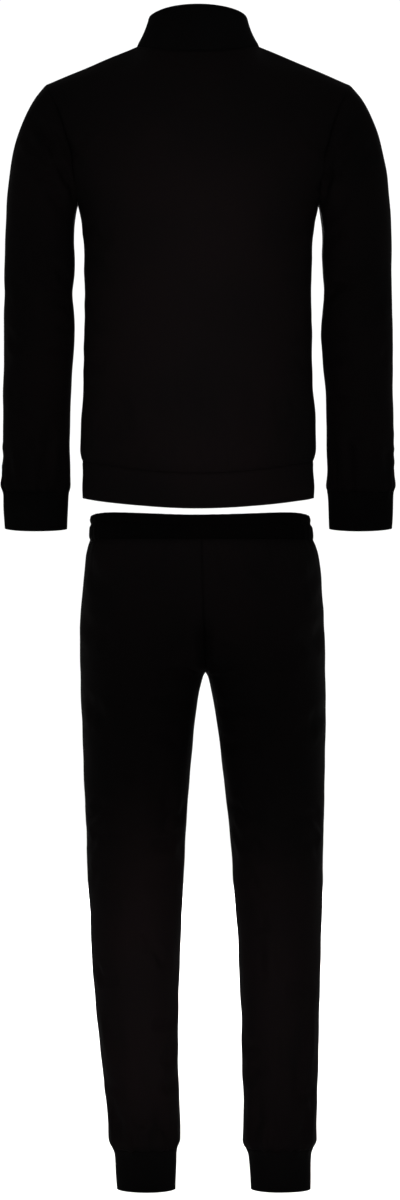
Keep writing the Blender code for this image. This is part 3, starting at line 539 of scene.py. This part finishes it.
JACKET_CREASES = [
    # x1 y1 z1 x2 y2 z2 bow width depth: the back of the left armhole and upper sleeve
    (-244, -42, -116, -207, -54, -166, -6, 6, -2.6), (-256, -36, -138, -216, -58, -186, -5, 6, -2.0),
    (-262, -30, -168, -200, -50, -214, -8, 7, -1.8), (-210, -54, -146, -168, -84, -196, 6, 8, -1.6),
    (-206, -52, -182, -186, -34, -232, 4, 5, -2.4), (-232, -56, -206, -198, -34, -250, -5, 7, -1.6),
    (-150, -92, -118, -196, -60, -160, -6, 8, -1.3), (-228, -50, -98, -188, -84, -112, 5, 9, -1.1),
    # the back of the right armhole and upper sleeve
    (238, -44, -110, 211, -54, -152, -5, 6, -2.8), (250, -42, -126, 205, -56, -186, -8, 6, -2.0),
    (258, -36, -160, 214, -56, -196, -6, 8, -1.6), (199, -52, -170, 190, -36, -236, 5, 5, -2.5),
    (214, -56, -190, 178, -76, -222, 6, 7, -1.8), (222, -54, -228, 192, -26, -262, -5, 7, -1.5),
    (158, -92, -130, 198, -58, -166, -7, 8, -1.4), (176, -84, -104, 224, -50, -90, 5, 9, -1.0),
    # under the arms and down the sides of the back
    (-176, -10, -262, -132, -86, -300, -8, 9, -1.8), (176, -10, -256, 128, -88, -292, -7, 9, -1.7),
    (-168, -20, -318, -120, -92, -344, -6, 10, -1.4), (168, -20, -330, 124, -90, -352, -6, 10, -1.5),
    (-168, -16, -402, -128, -84, -424, -5, 10, -1.5), (168, -16, -412, 118, -90, -440, -6, 10, -1.3),
    (-170, -16, -470, -136, -78, -488, -4, 9, -1.6), (168, -22, -486, 138, -76, -470, 4, 8, -1.2),
    # across the shoulder blades and down the middle of the back
    (-112, -106, -128, -20, -116, -148, -12, 16, -1.2), (104, -106, -122, 30, -116, -150, -10, 16, -1.1),
    (-86, -112, -228, -30, -116, -296, 6, 18, -1.1), (78, -112, -214, 34, -116, -286, -6, 18, -1.2),
    (-20, -108, -470, -22, -112, -574, 0, 13, -1.7), (30, -108, -522, 32, -112, -584, 0, 11, -1.6),
    (-66, -106, -500, -58, -112, -596, 0, 14, -1.1), (78, -104, -486, 88, -104, -588, 0, 13, -1.2),
    (-118, -90, -520, -106, -98, -600, 0, 12, -1.3), (130, -84, -532, 146, -70, -568, 0, 9, 1.6),
    (142, -70, -548, 118, -92, -604, 0, 8, -1.4), (-160, -40, -540, -140, -70, -600, 0, 10, 1.4),
    (8, -112, -586, 4, -110, -622, 0, 6, -1.0), (-40, -112, -592, -44, -110, -624, 0, 6, -1.1),
    (52, -110, -596, 50, -110, -625, 0, 5, -0.9), (-84, -104, -596, -88, -104, -624, 0, 6, -0.9),
    # the left sleeve: pinches along its inner edge, the elbow, and long soft drags above the cuff
    (-190, -20, -354, -216, -46, -340, 3, 6, -2.2), (-190, -8, -393, -222, -26, -384, 3, 6, -2.0),
    (-189, -4, -416, -214, -20, -426, -3, 5, -1.8), (-191, 4, -455, -226, -12, -462, -3, 6, -2.0),
    (-250, -34, -300, -206, -44, -330, -6, 8, -1.8), (-282, -10, -352, -238, -38, -372, -5, 8, -1.7),
    (-286, 10, -430, -244, -16, -452, -5, 8, -1.6), (-266, -8, -452, -246, -14, -462, -2, 6, -1.5),
    (-278, 10, -520, -236, 0, -548, -6, 9, -1.5), (-256, 8, -588, -244, 8, -600, 0, 6, -1.6),
    (-216, 6, -560, -232, 12, -640, 0, 9, -1.5), (-264, 18, -596, -258, 26, -648, 0, 8, -1.5),
    (-204, 30, -590, -206, 36, -650, 0, 7, -1.4), (-286, 50, -600, -284, 58, -650, 0, 8, -1.4),
    # the right sleeve
    (190, -20, -295, 222, -48, -282, 4, 7, -1.8), (191, -10, -374, 222, -34, -362, 4, 6, -2.3),
    (190, -2, -428, 224, -18, -438, -4, 6, -2.0), (192, 6, -474, 222, -8, -466, 3, 6, -1.8),
    (193, 16, -525, 228, 2, -534, -4, 7, -1.7), (262, -32, -318, 212, -42, -346, -6, 8, -1.7),
    (284, -8, -376, 240, -32, -398, -5, 9, -1.7), (276, 0, -408, 244, -20, -420, 0, 6, -1.3),
    (286, 16, -452, 250, -8, -476, -5, 8, -1.5), (274, 16, -556, 226, 8, -574, -6, 9, -1.5),
    (228, 10, -580, 224, 24, -650, 0, 8, -1.6), (262, 14, -604, 268, 30, -650, 0, 8, -1.4),
    (286, 48, -584, 280, 58, -648, 0, 8, -1.5), (204, 40, -600, 210, 44, -650, 0, 7, -1.3),
    # the front of both sleeves, folded inside the elbow
    (-196, 56, -340, -248, 70, -352, -5, 8, -2.4), (-200, 60, -376, -256, 72, -366, 5, 8, -2.2),
    (-194, 56, -420, -240, 74, -406, 4, 8, -1.8), (-262, 84, -470, -222, 82, -500, -6, 10, -1.5),
    (-284, 60, -560, -236, 94, -590, -6, 10, -1.5), (-240, 98, -600, -236, 100, -648, 0, 8, -1.4),
    (196, 56, -332, 246, 68, -346, -5, 8, -2.3), (198, 60, -368, 258, 70, -380, -5, 8, -2.2),
    (196, 58, -410, 236, 74, -396, 4, 8, -1.7), (260, 82, -454, 216, 80, -478, -6, 10, -1.6),
    (286, 60, -540, 240, 92, -572, -6, 10, -1.4), (250, 98, -604, 254, 100, -648, 0, 8, -1.5),
    # the fronts: from the armholes, along the zip and above the hem
    (-224, 36, -100, -172, 86, -136, -6, 8, -1.6), (-196, 56, -150, -150, 92, -186, -6, 9, -1.7),
    (-182, 40, -212, -132, 92, -250, -7, 9, -1.7), (228, 34, -104, 176, 84, -142, -6, 8, -1.6),
    (194, 58, -160, 146, 92, -198, -6, 9, -1.6), (182, 38, -222, 128, 92, -264, -7, 9, -1.7),
    (-10, 114, -300, -60, 110, -312, -4, 9, -1.3), (10, 114, -336, 66, 110, -350, -4, 9, -1.4),
    (-10, 114, -402, -76, 108, -420, -5, 10, -1.5), (10, 114, -428, 58, 110, -440, -4, 9, -1.3),
    (-10, 114, -486, -48, 112, -496, -3, 8, -1.3), (10, 114, -506, 72, 110, -528, -6, 10, -1.6),
    (-70, 108, -500, -58, 112, -604, 0, 13, -1.6), (62, 110, -530, 54, 112, -606, 0, 12, -1.5),
    (-124, 84, -520, -108, 94, -606, 0, 12, -1.5), (122, 86, -504, 108, 96, -604, 0, 13, -1.6),
    (-96, 98, -150, -40, 104, -210, 4, 16, -1.2), (92, 98, -160, 44, 104, -226, 4, 16, -1.2),
]
JOGGER_CREASES = [
    # the seat, below the waistband and beside the centre seam
    (-60, -112, -744, -66, -120, -800, 0, 9, -1.4), (-22, -112, -744, -26, -122, -786, 0, 7, -1.2),
    (34, -112, -744, 40, -122, -796, 0, 8, -1.3), (82, -104, -744, 92, -112, -804, 0, 10, -1.5),
    (-112, -88, -744, -122, -92, -794, 0, 9, -1.3), (134, -78, -744, 146, -82, -800, 0, 9, -1.4),
    (10, -124, -860, 11, -112, -934, 0, 9, -3.2), (12, -122, -888, 70, -118, -918, -8, 11, -1.8),
    (8, -122, -876, -60, -120, -912, -8, 11, -1.7), (14, -112, -926, 84, -108, -946, 6, 9, -1.9),
    (4, -112, -930, -66, -106, -956, 5, 9, -1.8), (-18, -96, -979, -78, -102, -972, -5, 8, -2.2),
    (31, -90, -988, 96, -98, -984, -6, 8, -2.2), (-172, -20, -856, -112, -104, -884, -8, 12, -1.6),
    (186, -20, -866, 128, -106, -900, -8, 12, -1.7), (-172, -30, -978, -122, -88, -1004, -6, 11, -1.5),
    (188, -30, -996, 140, -84, -1020, -6, 11, -1.6), (-166, -24, -776, -124, -92, -812, -7, 11, -1.3),
    (178, -24, -780, 132, -90, -822, -7, 11, -1.4),
    # the back of the left thigh and knee
    (-24, -60, -1044, -70, -84, -1032, 4, 9, -1.8), (-45, -68, -1104, -47, -66, -1160, 0, 11, -2.8),
    (-78, -84, -1060, -80, -76, -1168, 0, 10, 1.8), (-102, -80, -1082, -108, -76, -1106, 0, 7, -1.6),
    (-22, -30, -1140, -60, -70, -1166, -6, 8, -2.4), (-26, -30, -1176, -76, -74, -1196, -6, 8, -2.3),
    (-168, -10, -1154, -124, -66, -1140, 5, 8, -2.2), (-166, -10, -1190, -112, -70, -1176, 5, 8, -1.9),
    (-30, -30, -1232, -84, -70, -1244, -5, 9, -1.8), (-160, -20, -1246, -116, -64, -1226, 5, 9, -1.7),
    (-118, -68, -1289, -100, -70, -1262, 0, 8, 1.5), (-71, -72, -1350, -44, -60, -1372, 3, 7, -1.9),
    (-91, -72, -1322, -84, -72, -1344, 0, 8, 1.4), (-152, -30, -1381, -124, -56, -1386, -3, 7, -2.0),
    # the back of the right thigh and knee
    (38, -40, -1050, 84, -80, -1044, 4, 9, -1.8), (99, -84, -1024, 102, -80, -1080, 0, 12, 1.6),
    (102, -76, -1122, 106, -74, -1176, 0, 12, 1.7), (78, -70, -1092, 128, -80, -1104, -5, 9, -1.9),
    (46, -30, -1136, 80, -66, -1146, -4, 8, -2.3), (54, -30, -1182, 108, -70, -1198, -6, 8, -2.3),
    (186, -10, -1161, 140, -64, -1152, 4, 8, -2.3), (126, -74, -1158, 146, -62, -1168, 0, 6, -1.6),
    (184, -14, -1206, 138, -64, -1190, 5, 9, -1.8), (58, -30, -1240, 112, -70, -1252, -5, 9, -1.7),
    (117, -72, -1222, 121, -72, -1252, 0, 10, 1.3), (102, -74, -1301, 82, -62, -1312, 0, 7, -1.7),
    (106, -74, -1322, 104, -72, -1392, 0, 8, 1.8),
    # the calves, down to where they blouse over the cuffs
    (-36, -40, -1460, -64, -62, -1462, 2, 6, -2.3), (-34, -34, -1498, -58, -56, -1510, -3, 8, -1.9),
    (-130, -44, -1440, -118, -52, -1500, 0, 11, -1.5), (-70, -66, -1500, -74, -60, -1560, 0, 12, -1.4),
    (-34, -30, -1547, -62, -56, -1556, -3, 7, -2.0), (-138, -20, -1540, -108, -54, -1560, -4, 8, -1.7),
    (-89, -64, -1594, -80, -64, -1606, 0, 6, -1.8), (-128, -40, -1572, -116, -52, -1636, 0, 9, -1.9),
    (-54, -54, -1576, -60, -56, -1638, 0, 9, -1.7), (-44, -46, -1612, -40, -44, -1640, 0, 8, -2.2),
    (164, -30, -1412, 136, -60, -1404, 3, 8, -2.4), (155, -44, -1444, 152, -44, -1568, 0, 9, -2.5),
    (131, -62, -1470, 133, -60, -1512, 0, 8, 1.8), (70, -26, -1491, 92, -56, -1500, -3, 8, -2.1),
    (72, -26, -1540, 96, -54, -1526, 4, 8, -1.8), (173, -20, -1575, 146, -48, -1562, 4, 7, -2.0),
    (90, -54, -1570, 84, -50, -1636, 0, 9, -1.9), (120, -62, -1580, 126, -60, -1640, 0, 9, -1.6),
    (160, -40, -1590, 154, -42, -1640, 0, 8, -1.9), (110, -64, -1612, 108, -62, -1642, 0, 6, -1.5),
    # the front: from the crotch and hips, the knees and the shins
    (12, 100, -880, 74, 100, -850, 6, 11, -2.0), (10, 100, -884, -62, 100, -856, 6, 11, -2.0),
    (14, 98, -912, 92, 96, -896, 5, 10, -2.0), (8, 98, -914, -78, 96, -904, 5, 10, -2.0),
    (20, 90, -950, 90, 92, -958, -5, 10, -1.8), (2, 90, -950, -74, 92, -962, -5, 10, -1.8),
    (-50, 100, -744, -58, 104, -800, 0, 9, -1.4), (60, 100, -744, 70, 104, -806, 0, 9, -1.4),
    (-104, 84, -744, -114, 86, -796, 0, 9, -1.3), (116, 84, -744, 128, 84, -802, 0, 9, -1.4),
    (4, 104, -744, 2, 106, -790, 0, 8, -1.2), (-150, 50, -860, -96, 92, -880, -6, 11, -1.5),
    (164, 50, -856, 112, 92, -884, -6, 11, -1.5), (-158, 30, -1100, -112, 80, -1112, -4, 9, -1.9),
    (-30, 50, -1120, -74, 86, -1130, -4, 9, -1.8), (-150, 40, -1168, -96, 86, -1160, 4, 9, -1.8),
    (-34, 50, -1196, -80, 84, -1184, 5, 9, -1.9), (-154, 30, -1226, -104, 76, -1240, -5, 9, -1.8),
    (176, 30, -1106, 130, 80, -1120, -4, 9, -1.9), (52, 50, -1116, 96, 84, -1128, -4, 9, -1.8),
    (172, 40, -1176, 118, 84, -1166, 4, 9, -1.8), (60, 50, -1206, 106, 82, -1192, 5, 9, -1.9),
    (176, 30, -1232, 126, 74, -1246, -5, 9, -1.8), (-90, 66, -1290, -84, 56, -1400, 0, 14, -1.5),
    (126, 66, -1300, 120, 56, -1410, 0, 14, -1.5), (-140, 20, -1450, -104, 50, -1470, -4, 9, -1.7),
    (-40, 30, -1520, -76, 46, -1512, 3, 8, -1.7), (168, 20, -1460, 132, 48, -1480, -4, 9, -1.7),
    (76, 24, -1530, 110, 46, -1520, 3, 8, -1.7), (-112, 40, -1570, -106, 40, -1636, 0, 9, -1.7),
    (-66, 46, -1580, -62, 44, -1638, 0, 9, -1.7), (98, 40, -1574, 94, 40, -1638, 0, 9, -1.8),
    (146, 42, -1580, 150, 40, -1638, 0, 9, -1.7),
]
CREASE_GAIN = 2.2
SEAM_DEPTH, SEAM_WIDE = 0.8, 3.0
SWAY_DEPTH, SWAY_LONG = 0.6, 62
OUTWARD = 0.2
WAIST_PUCKER, WAIST_REACH = 0.7, 26
DOWNWARD = (0, 0, -0.12)
SNAP_WEIGHT = np.array([1, 0.3, 1])
SAME_PLACE = 0.01


def grid_normals(grid, closed):
    """Outward normals; a closed ring's last column repeats its first."""
    around = np.gradient(grid, axis=1)
    if closed:
        around[:, 0] = around[:, -1] = (grid[:, 1] - grid[:, -2]) / 2
    return unit(np.cross(around, np.gradient(grid, axis=0)))


def share_normals(pieces):
    """Gives each point the mean of its normals in all the pieces that meet there; where two sides cancel out, as
    at the crotch and the armpit, the mean points down."""
    points = np.concatenate([piece["grid"].reshape(-1, 3) for piece in pieces])
    normals = np.concatenate([grid_normals(piece["grid"], piece["closed"]).reshape(-1, 3) for piece in pieces])
    place = np.round(points / SAME_PLACE).astype(int)
    _, index = np.unique(place, axis=0, return_inverse=True)
    index = index.ravel()
    sums = np.tile(DOWNWARD, (index.max() + 1, 1))
    np.add.at(sums, index, normals)
    found, start = unit(sums)[index], 0
    for piece in pieces:
        size = piece["grid"].size // 3
        piece["normals"] = found[start : start + size].reshape(piece["grid"].shape)
        start += size


def fold_depth(points):
    """How far the large folds move each point along its normal."""
    moved = np.zeros(len(points))
    for _, x1, y1, z1, x2, y2, z2, width, depth, both_sides in FOLDS.rows:
        for side in (1, -1) if both_sides else (1,):
            start, run = np.array([side * x1, y1, z1]), np.array([side * (x2 - x1), y2 - y1, z2 - z1])
            along = np.clip((points - start) @ run / (run @ run), 0, 1)
            away = np.linalg.norm(points - start - along[:, None] * run, axis=1) / width
            moved += depth * np.exp(-away * away)
    return moved


def crease_depth(points, path, width, depth):
    """One crease: a soft trough between two low ridges, fading towards both ends of its path."""
    moved = np.zeros(len(points))
    reach = 3.2 * width
    near = ((points > path.min(axis=0) - reach) & (points < path.max(axis=0) + reach)).all(axis=1)
    some = points[near]
    best, where = np.full(len(some), np.inf), np.zeros(len(some))
    for i, (start, end) in enumerate(zip(path[:-1], path[1:])):
        run = end - start
        along = np.clip((some - start) @ run / max(run @ run, 1e-6), 0, 1)
        away = np.linalg.norm(some - start - along[:, None] * run, axis=1)
        closer = away < best
        best[closer], where[closer] = away[closer], ((i + along) / (len(path) - 1))[closer]
    best /= width
    fade = np.sin(pi * np.clip(where, 0.03, 0.97)) ** 0.6
    moved[near] = depth * fade * (np.exp(-best * best) - 0.4 * np.exp(-(((best - 2) / 0.8) ** 2)))
    return moved


def crease_paths(creases, points):
    """The creases' paths, each drawn between its two ends and laid on the nearest cloth."""
    for x1, y1, z1, x2, y2, z2, bow, width, depth in creases:
        share = np.linspace(0, 1, 8)[:, None]
        line = mix(np.array([x1, y1, z1]), np.array([x2, y2, z2]), share) + [0, 0, bow] * np.sin(pi * share)
        nearest = [np.argmin((((points - place) * SNAP_WEIGHT) ** 2).sum(axis=1)) for place in line]
        yield points[nearest], width, depth


def waves(points, size, seed):
    """Broad, low unevenness between about -1 and 1, its waves near size long."""
    draw = np.random.default_rng(seed)
    run = unit(draw.normal(size=(9, 3))) / (size * draw.uniform(0.7, 1.8, (9, 1)))
    return np.sin(2 * pi * (points @ run.T + draw.uniform(0, 1, 9))).sum(axis=1) / 3


def puckers(points, ring):
    """Uneven puckers round a part, between about -1 and 1."""
    x, y, half_x, half_y, counts, seed = ring
    angle = np.arctan2((points[:, 1] - y) / half_y, (points[:, 0] - x) / half_x)
    phases = np.random.default_rng(seed).uniform(0, 2 * pi, len(counts))
    return sum(np.sin(count * angle + phase) for count, phase in zip(counts, phases)) / 2


def distance_from(grid, edge, closed):
    """Each point's distance from an edge of its grid, along the cloth."""
    axis = 0 if edge in ("bottom", "top", "middle") else 1
    steps = np.linalg.norm(np.diff(grid, axis=axis), axis=2)
    start = np.zeros_like(grid[:1, :, 0] if axis == 0 else grid[:, :1, 0])
    gone = np.cumsum(np.concatenate([start, steps], axis=axis), axis=axis)
    whole = gone[-1:] if axis == 0 else gone[:, -1:]
    if closed and axis == 1:
        return np.minimum(gone, whole - gone)
    if edge == "middle":
        return np.abs(gone - whole * 2 / 3)
    return gone if edge in ("bottom", "first") else whole - gone


def shape_cloth(pieces, creases, seed):
    """Folds, creases, gathers and seam lines, laid on together, so that sewn edges stay together."""
    share_normals(pieces)
    cloth = np.concatenate([piece["grid"][::3, ::3].reshape(-1, 3) for piece in pieces])
    paths = list(crease_paths(creases, cloth))
    for piece in pieces:
        points = piece["grid"].reshape(-1, 3)
        moved = OUTWARD + fold_depth(points) + SWAY_DEPTH * waves(points, SWAY_LONG, seed)
        for path, width, depth in paths:
            moved += crease_depth(points, path, width, depth * CREASE_GAIN)
        for edge, reach, depth in piece["gathers"]:
            away = distance_from(piece["grid"], edge, piece["closed"]).ravel()
            moved += depth * puckers(points, piece["ring"]) * np.exp(-away / reach)
        if "waist_ring" in piece:
            away = distance_from(piece["grid"], "top", False).ravel()
            moved += WAIST_PUCKER * puckers(points, piece["waist_ring"]) * np.exp(-away / WAIST_REACH)
        dip = np.zeros(len(points))
        for edge in piece["seams"]:
            away = distance_from(piece["grid"], edge, piece["closed"]).ravel()
            dip = np.maximum(dip, SEAM_DEPTH * np.exp(-((away / SEAM_WIDE) ** 2)))
        moved -= dip
        piece["moved"] = moved.reshape(piece["grid"].shape[:2])
    for piece in pieces:
        piece["grid"] = piece["grid"] + piece["moved"][..., None] * piece["normals"]
    share_normals(pieces)


def lay(piece, made_of):
    """The piece as a mesh with its flat cut as UV map, in metres, and its thickness on the inside."""
    grid, name = piece["grid"] * MM, piece["name"]
    rows, columns = grid.shape[:2]
    form = bmesh.new()
    bmesh.ops.create_grid(form, x_segments=columns - 1, y_segments=rows - 1, size=1)
    mesh = bpy.data.meshes.new(name)
    form.to_mesh(mesh)
    form.free()
    mesh.vertices.foreach_set("co", grid.ravel())
    across = distance_from(grid, "first", False)
    across -= across[:, columns // 2, None]
    up = distance_from(grid, "bottom", False).mean(axis=1, keepdims=True) + np.zeros_like(across)
    corners = np.empty(len(mesh.loops), int)
    mesh.loops.foreach_get("vertex_index", corners)
    flat = np.stack([across.ravel(), up.ravel()], axis=1)[corners]
    mesh.uv_layers.new(name="cut").data.foreach_set("uv", flat.ravel())
    if piece["closed"]:
        form = bmesh.new()
        form.from_mesh(mesh)
        bmesh.ops.remove_doubles(form, verts=form.verts, dist=1e-6)
        form.to_mesh(mesh)
        form.free()
    mesh.update()
    mesh.shade_smooth()
    mesh.materials.append(made_of)
    made = bpy.data.objects.new(name, mesh)
    bpy.context.collection.objects.link(made)
    wall = made.modifiers.new("thickness", "SOLIDIFY")
    wall.thickness = piece["thickness"] * MM
    wall.offset = -1
    return made


# Brushed knit: black cotton-rich jersey, brushed to a short, dull nap. It takes almost no light, is a little
# brighter where it faces the lamp, and shows its wales only close up. They are drawn 1.6 mm apart.
def maths(tree, operation, *terms):
    """The output of a math node whose terms are numbers or other nodes' outputs."""
    node = add_node(tree, "Math", {"operation": operation})
    for socket, term in zip(node.inputs, terms):
        if isinstance(term, (int, float)):
            socket.default_value = term
        else:
            tree.links.new(term, socket)
    return node.outputs[0]


def knitted(name, dark, light, wale, course, bump, roughness):
    """A knit with rows of V stitches, a nap and a slow change of tone."""
    made = bpy.data.materials.new(name)
    made.use_nodes = True
    tree = made.node_tree
    surface = tree.nodes["Principled BSDF"]
    flat = add_node(tree, "UVMap", {"uv_map": "cut"}).outputs["UV"]
    place = add_node(tree, "TexCoord", {}).outputs["Object"]
    axes = add_node(tree, "SeparateXYZ", {}, [("Vector", flat)])
    zigzag = maths(tree, "PINGPONG", maths(tree, "DIVIDE", axes.outputs["X"], wale), 0.5)
    slanted = maths(tree, "ADD", maths(tree, "DIVIDE", axes.outputs["Y"], course), zigzag)
    stitch = maths(tree, "SINE", maths(tree, "MULTIPLY", slanted, 2 * pi))
    groove = maths(tree, "SMOOTH_MIN", zigzag, 0.3, 0.2)
    nap = add_node(tree, "TexNoise", {"Scale": 1400.0, "Detail": 3.0, "Roughness": 0.6}, [("Vector", place)])
    height = maths(tree, "MULTIPLY_ADD", stitch, 0.12, groove)
    rough = maths(tree, "MULTIPLY_ADD", nap.outputs["Fac"], 0.35, height)
    relief = add_node(tree, "Bump", {"Strength": bump, "Distance": 0.0005}, [("Height", rough)])
    tone = add_node(tree, "TexNoise", {"Scale": 7.0, "Detail": 5.0, "Roughness": 0.55}, [("Vector", place)])
    shade = add_node(tree, "ValToRGB", {}, [("Fac", tone.outputs["Fac"])])
    shade.color_ramp.elements[0].position, shade.color_ramp.elements[1].position = 0.2, 0.85
    shade.color_ramp.elements[0].color, shade.color_ramp.elements[1].color = linear(dark), linear(light)
    tree.links.new(shade.outputs["Color"], surface.inputs["Base Color"])
    tree.links.new(relief.outputs["Normal"], surface.inputs["Normal"])
    surface.inputs["Roughness"].default_value = roughness
    surface.inputs["IOR"].default_value = 1.08
    surface.inputs["Specular IOR Level"].default_value = 0.2
    surface.inputs["Sheen Weight"].default_value = 0.0003
    surface.inputs["Sheen Roughness"].default_value = 0.6
    return made


brushed_knit = knitted("brushed cotton knit", "#020202", "#040303", 0.0016, 0.0012, 0.3, 0.84)
double_knit = knitted("doubled cotton knit", "#010101", "#030303", 0.0024, 0.0014, 0.45, 0.9)
# The waistband's colour is its own dark doubled knit, made darker still as painted shade where it sits under the
# jacket's hem.
elastic_knit_with_painted_shade = knitted("doubled knit over elastic with painted shade", "#000000", "#010101", 0.0024, 0.0014, 0.45, 0.9)
band_knit = knitted("doubled hem knit", "#020202", "#040303", 0.0024, 0.0014, 0.35, 0.86)

shape_cloth(jacket, JACKET_CREASES, 7)
shape_cloth(joggers, JOGGER_CREASES, 8)
STANDS_FOR = {
    "back_panel": "jacket_back", "front_panel_right": "jacket_front_right", "front_panel_left": "jacket_front_left",
    "hem_band_knit": "hem_band", "stand_collar": "collar", "sleeve_knit_right": "sleeve_right",
    "sleeve_knit_left": "sleeve_left", "wrist_cuff_right": "sleeve_cuff_right", "wrist_cuff_left": "sleeve_cuff_left",
    "leg_back_left": "trousers_back_left", "leg_front_left": "trousers_front_left",
    "leg_back_right": "trousers_back_right", "leg_front_right": "trousers_front_right",
    "elastic_waistband": "waistband", "ankle_cuff_knit_left": "ankle_cuff_left",
    "ankle_cuff_knit_right": "ankle_cuff_right",
}
# The waistband gets the knit that carries painted shade from the jacket's hem.
KNIT_OF = {"hem_band_knit": band_knit, "elastic_waistband": elastic_knit_with_painted_shade}
pieces = {piece["name"]: piece for piece in jacket + joggers}
for name, piece in pieces.items():
    doubled = piece["thickness"] == DOUBLE_CLOTH
    made = lay(piece, KNIT_OF.get(name, double_knit if doubled else brushed_knit))
    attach(made, "suit")
    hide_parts(STANDS_FOR[name])

# Front zip: two woven polyester tapes sewn under the fronts' edges, and a closed chain of moulded black teeth that
# reach across from each tape in turn. The slider and its pull, of black plated zinc, stand at the collar's rim.
TAPE_THICK, TAPE_BACK, TAPE_STRIPS = 0.8, 0.6, 9
TOOTH_PITCH, TOOTH = 1.6, (3.0, 1.0, 1.7)
FREE_TOP = 14


def edge_line(name, column):
    """The points of one of a piece's upright edges, from the lowest up."""
    return pieces[name]["grid"][:, column]


def resampled(points, pitch, *others):
    """Points at an even pitch along a line, and the same places along other lines of as many points."""
    gone = np.concatenate([[0], np.cumsum(np.linalg.norm(np.diff(points, axis=0), axis=1))])
    marks = np.arange(pitch / 2, gone[-1], pitch)
    lines = (points, *others)
    return [np.stack([np.interp(marks, gone, line[:, axis]) for axis in range(3)], axis=1) for line in lines]


def blocks(name, places, made_of):
    """Many small blocks as one mesh; each place is its centre, the directions of its three sizes, and the sizes."""
    form = bmesh.new()
    for centre, directions, sizes in places:
        turn = Matrix([list(direction * size * MM) for direction, size in zip(directions, sizes)]).transposed()
        bmesh.ops.create_cube(form, size=1, matrix=Matrix.Translation(centre * MM) @ turn.to_4x4())
    mesh = bpy.data.meshes.new(name)
    form.to_mesh(mesh)
    form.free()
    mesh.materials.append(made_of)
    made = bpy.data.objects.new(name, mesh)
    bpy.context.collection.objects.link(made)
    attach(made, "suit")
    return made


def plain(name, colour, roughness, metallic, grain, bump, shine=0.5):
    """A material with one colour, a fine uneven grain and slightly uneven roughness."""
    made = bpy.data.materials.new(name)
    made.use_nodes = True
    tree = made.node_tree
    surface = tree.nodes["Principled BSDF"]
    place = add_node(tree, "TexCoord", {}).outputs["Object"]
    noise = add_node(tree, "TexNoise", {"Scale": grain, "Detail": 4.0}, [("Vector", place)])
    relief = add_node(tree, "Bump", {"Strength": bump, "Distance": 0.0003}, [("Height", noise.outputs["Fac"])])
    ends = {"To Min": roughness - 0.1, "To Max": roughness + 0.1}
    rough = add_node(tree, "MapRange", ends, [("Value", noise.outputs["Fac"])])
    surface.inputs["Base Color"].default_value = linear(colour)
    surface.inputs["Metallic"].default_value = metallic
    surface.inputs["Specular IOR Level"].default_value = shine
    tree.links.new(rough.outputs["Result"], surface.inputs["Roughness"])
    tree.links.new(relief.outputs["Normal"], surface.inputs["Normal"])
    return made


left_edge = np.concatenate([
    edge_line("hem_band_knit", 0), edge_line("front_panel_left", 0)[1:], edge_line("stand_collar", 0)[1:]
])
right_edge = np.concatenate([
    edge_line("hem_band_knit", -1), edge_line("front_panel_right", -1)[1:], edge_line("stand_collar", -1)[1:]
])
share = np.linspace(0, 1, TAPE_STRIPS)[None, :, None]
tape_grid = mix(left_edge[:, None], right_edge[:, None], share) - [0, TAPE_BACK, 0]
tape = {"name": "zip_tapes", "grid": tape_grid, "thickness": TAPE_THICK, "closed": False}
woven_tape = plain("woven polyester tape", "#020202", 0.85, 0.0, 2200.0, 0.5, 0.01)
laid = lay(tape, woven_tape)
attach(laid, "suit")
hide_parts("front_zip")

middle = (left_edge + right_edge) / 2 - [0, 1.0, 0]
places, = resampled(middle, TOOTH_PITCH)
places = places[places[:, 2] < middle[-1, 2] - FREE_TOP]
along = unit(np.gradient(places, axis=0))
chain = []
for number, (place, up) in enumerate(zip(places, along)):
    across = np.array([1.0, 0, 0])
    side = across * (0.6 if number % 2 else -0.6)
    chain.append((place + side, (across, up, np.cross(across, up)), TOOTH))
moulded = plain("moulded black teeth", "#040404", 0.45, 0.0, 900.0, 0.2, 0.08)
blocks("zip_chain", chain, moulded)
plated_zinc = plain("black plated zinc", "#18181a", 0.38, 1.0, 600.0, 0.15)
for name in ("zip_slider", "zip_pull"):
    metal_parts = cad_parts[name].data.materials
    metal_parts.clear()
    metal_parts.append(plated_zinc)

# Topstitching: black polyester thread in rows beside the seams, 3 mm a stitch, pulled a little into the cloth.
STITCH_PITCH, STITCH_AWAY, STITCH = 3.2, 5, (2.3, 0.45, 0.4)
STITCHED = {
    "jacket_topstitching": (
        ("back_panel", ("bottom", "top")), ("front_panel_right", ("bottom", "top", "last")),
        ("front_panel_left", ("bottom", "top", "first")), ("sleeve_knit_right", ("bottom",)),
        ("sleeve_knit_left", ("bottom",)), ("stand_collar", ("top",)),
    ),
    "jogger_topstitching": (
        ("elastic_waistband", ("middle", "top")), ("leg_back_left", ("bottom", "top")),
        ("leg_back_right", ("bottom", "top")), ("leg_front_left", ("bottom", "top")),
        ("leg_front_right", ("bottom", "top")),
    ),
}
thread = plain("black polyester thread", "#010101", 0.7, 0.0, 3000.0, 0.4, 0.0)
for row_name, sewn in STITCHED.items():
    stitches = []
    for name, edge in [(name, edge) for name, edges in sewn for edge in edges]:
        grid, normals = pieces[name]["grid"], pieces[name]["normals"]
        across = 1 if edge in ("first", "last") else 0
        away = distance_from(grid, edge, False).mean(axis=1 - across)
        number = np.argmin(abs(away - (0 if edge == "middle" else STITCH_AWAY)))
        centres, out = resampled(grid.take(number, across), STITCH_PITCH, normals.take(number, across))
        out, run = unit(out), unit(np.gradient(centres, axis=0))
        for centre, up, forward in zip(centres, out, run):
            stitches.append((centre, (forward, np.cross(up, forward), up), STITCH))
    blocks(row_name, stitches, thread)
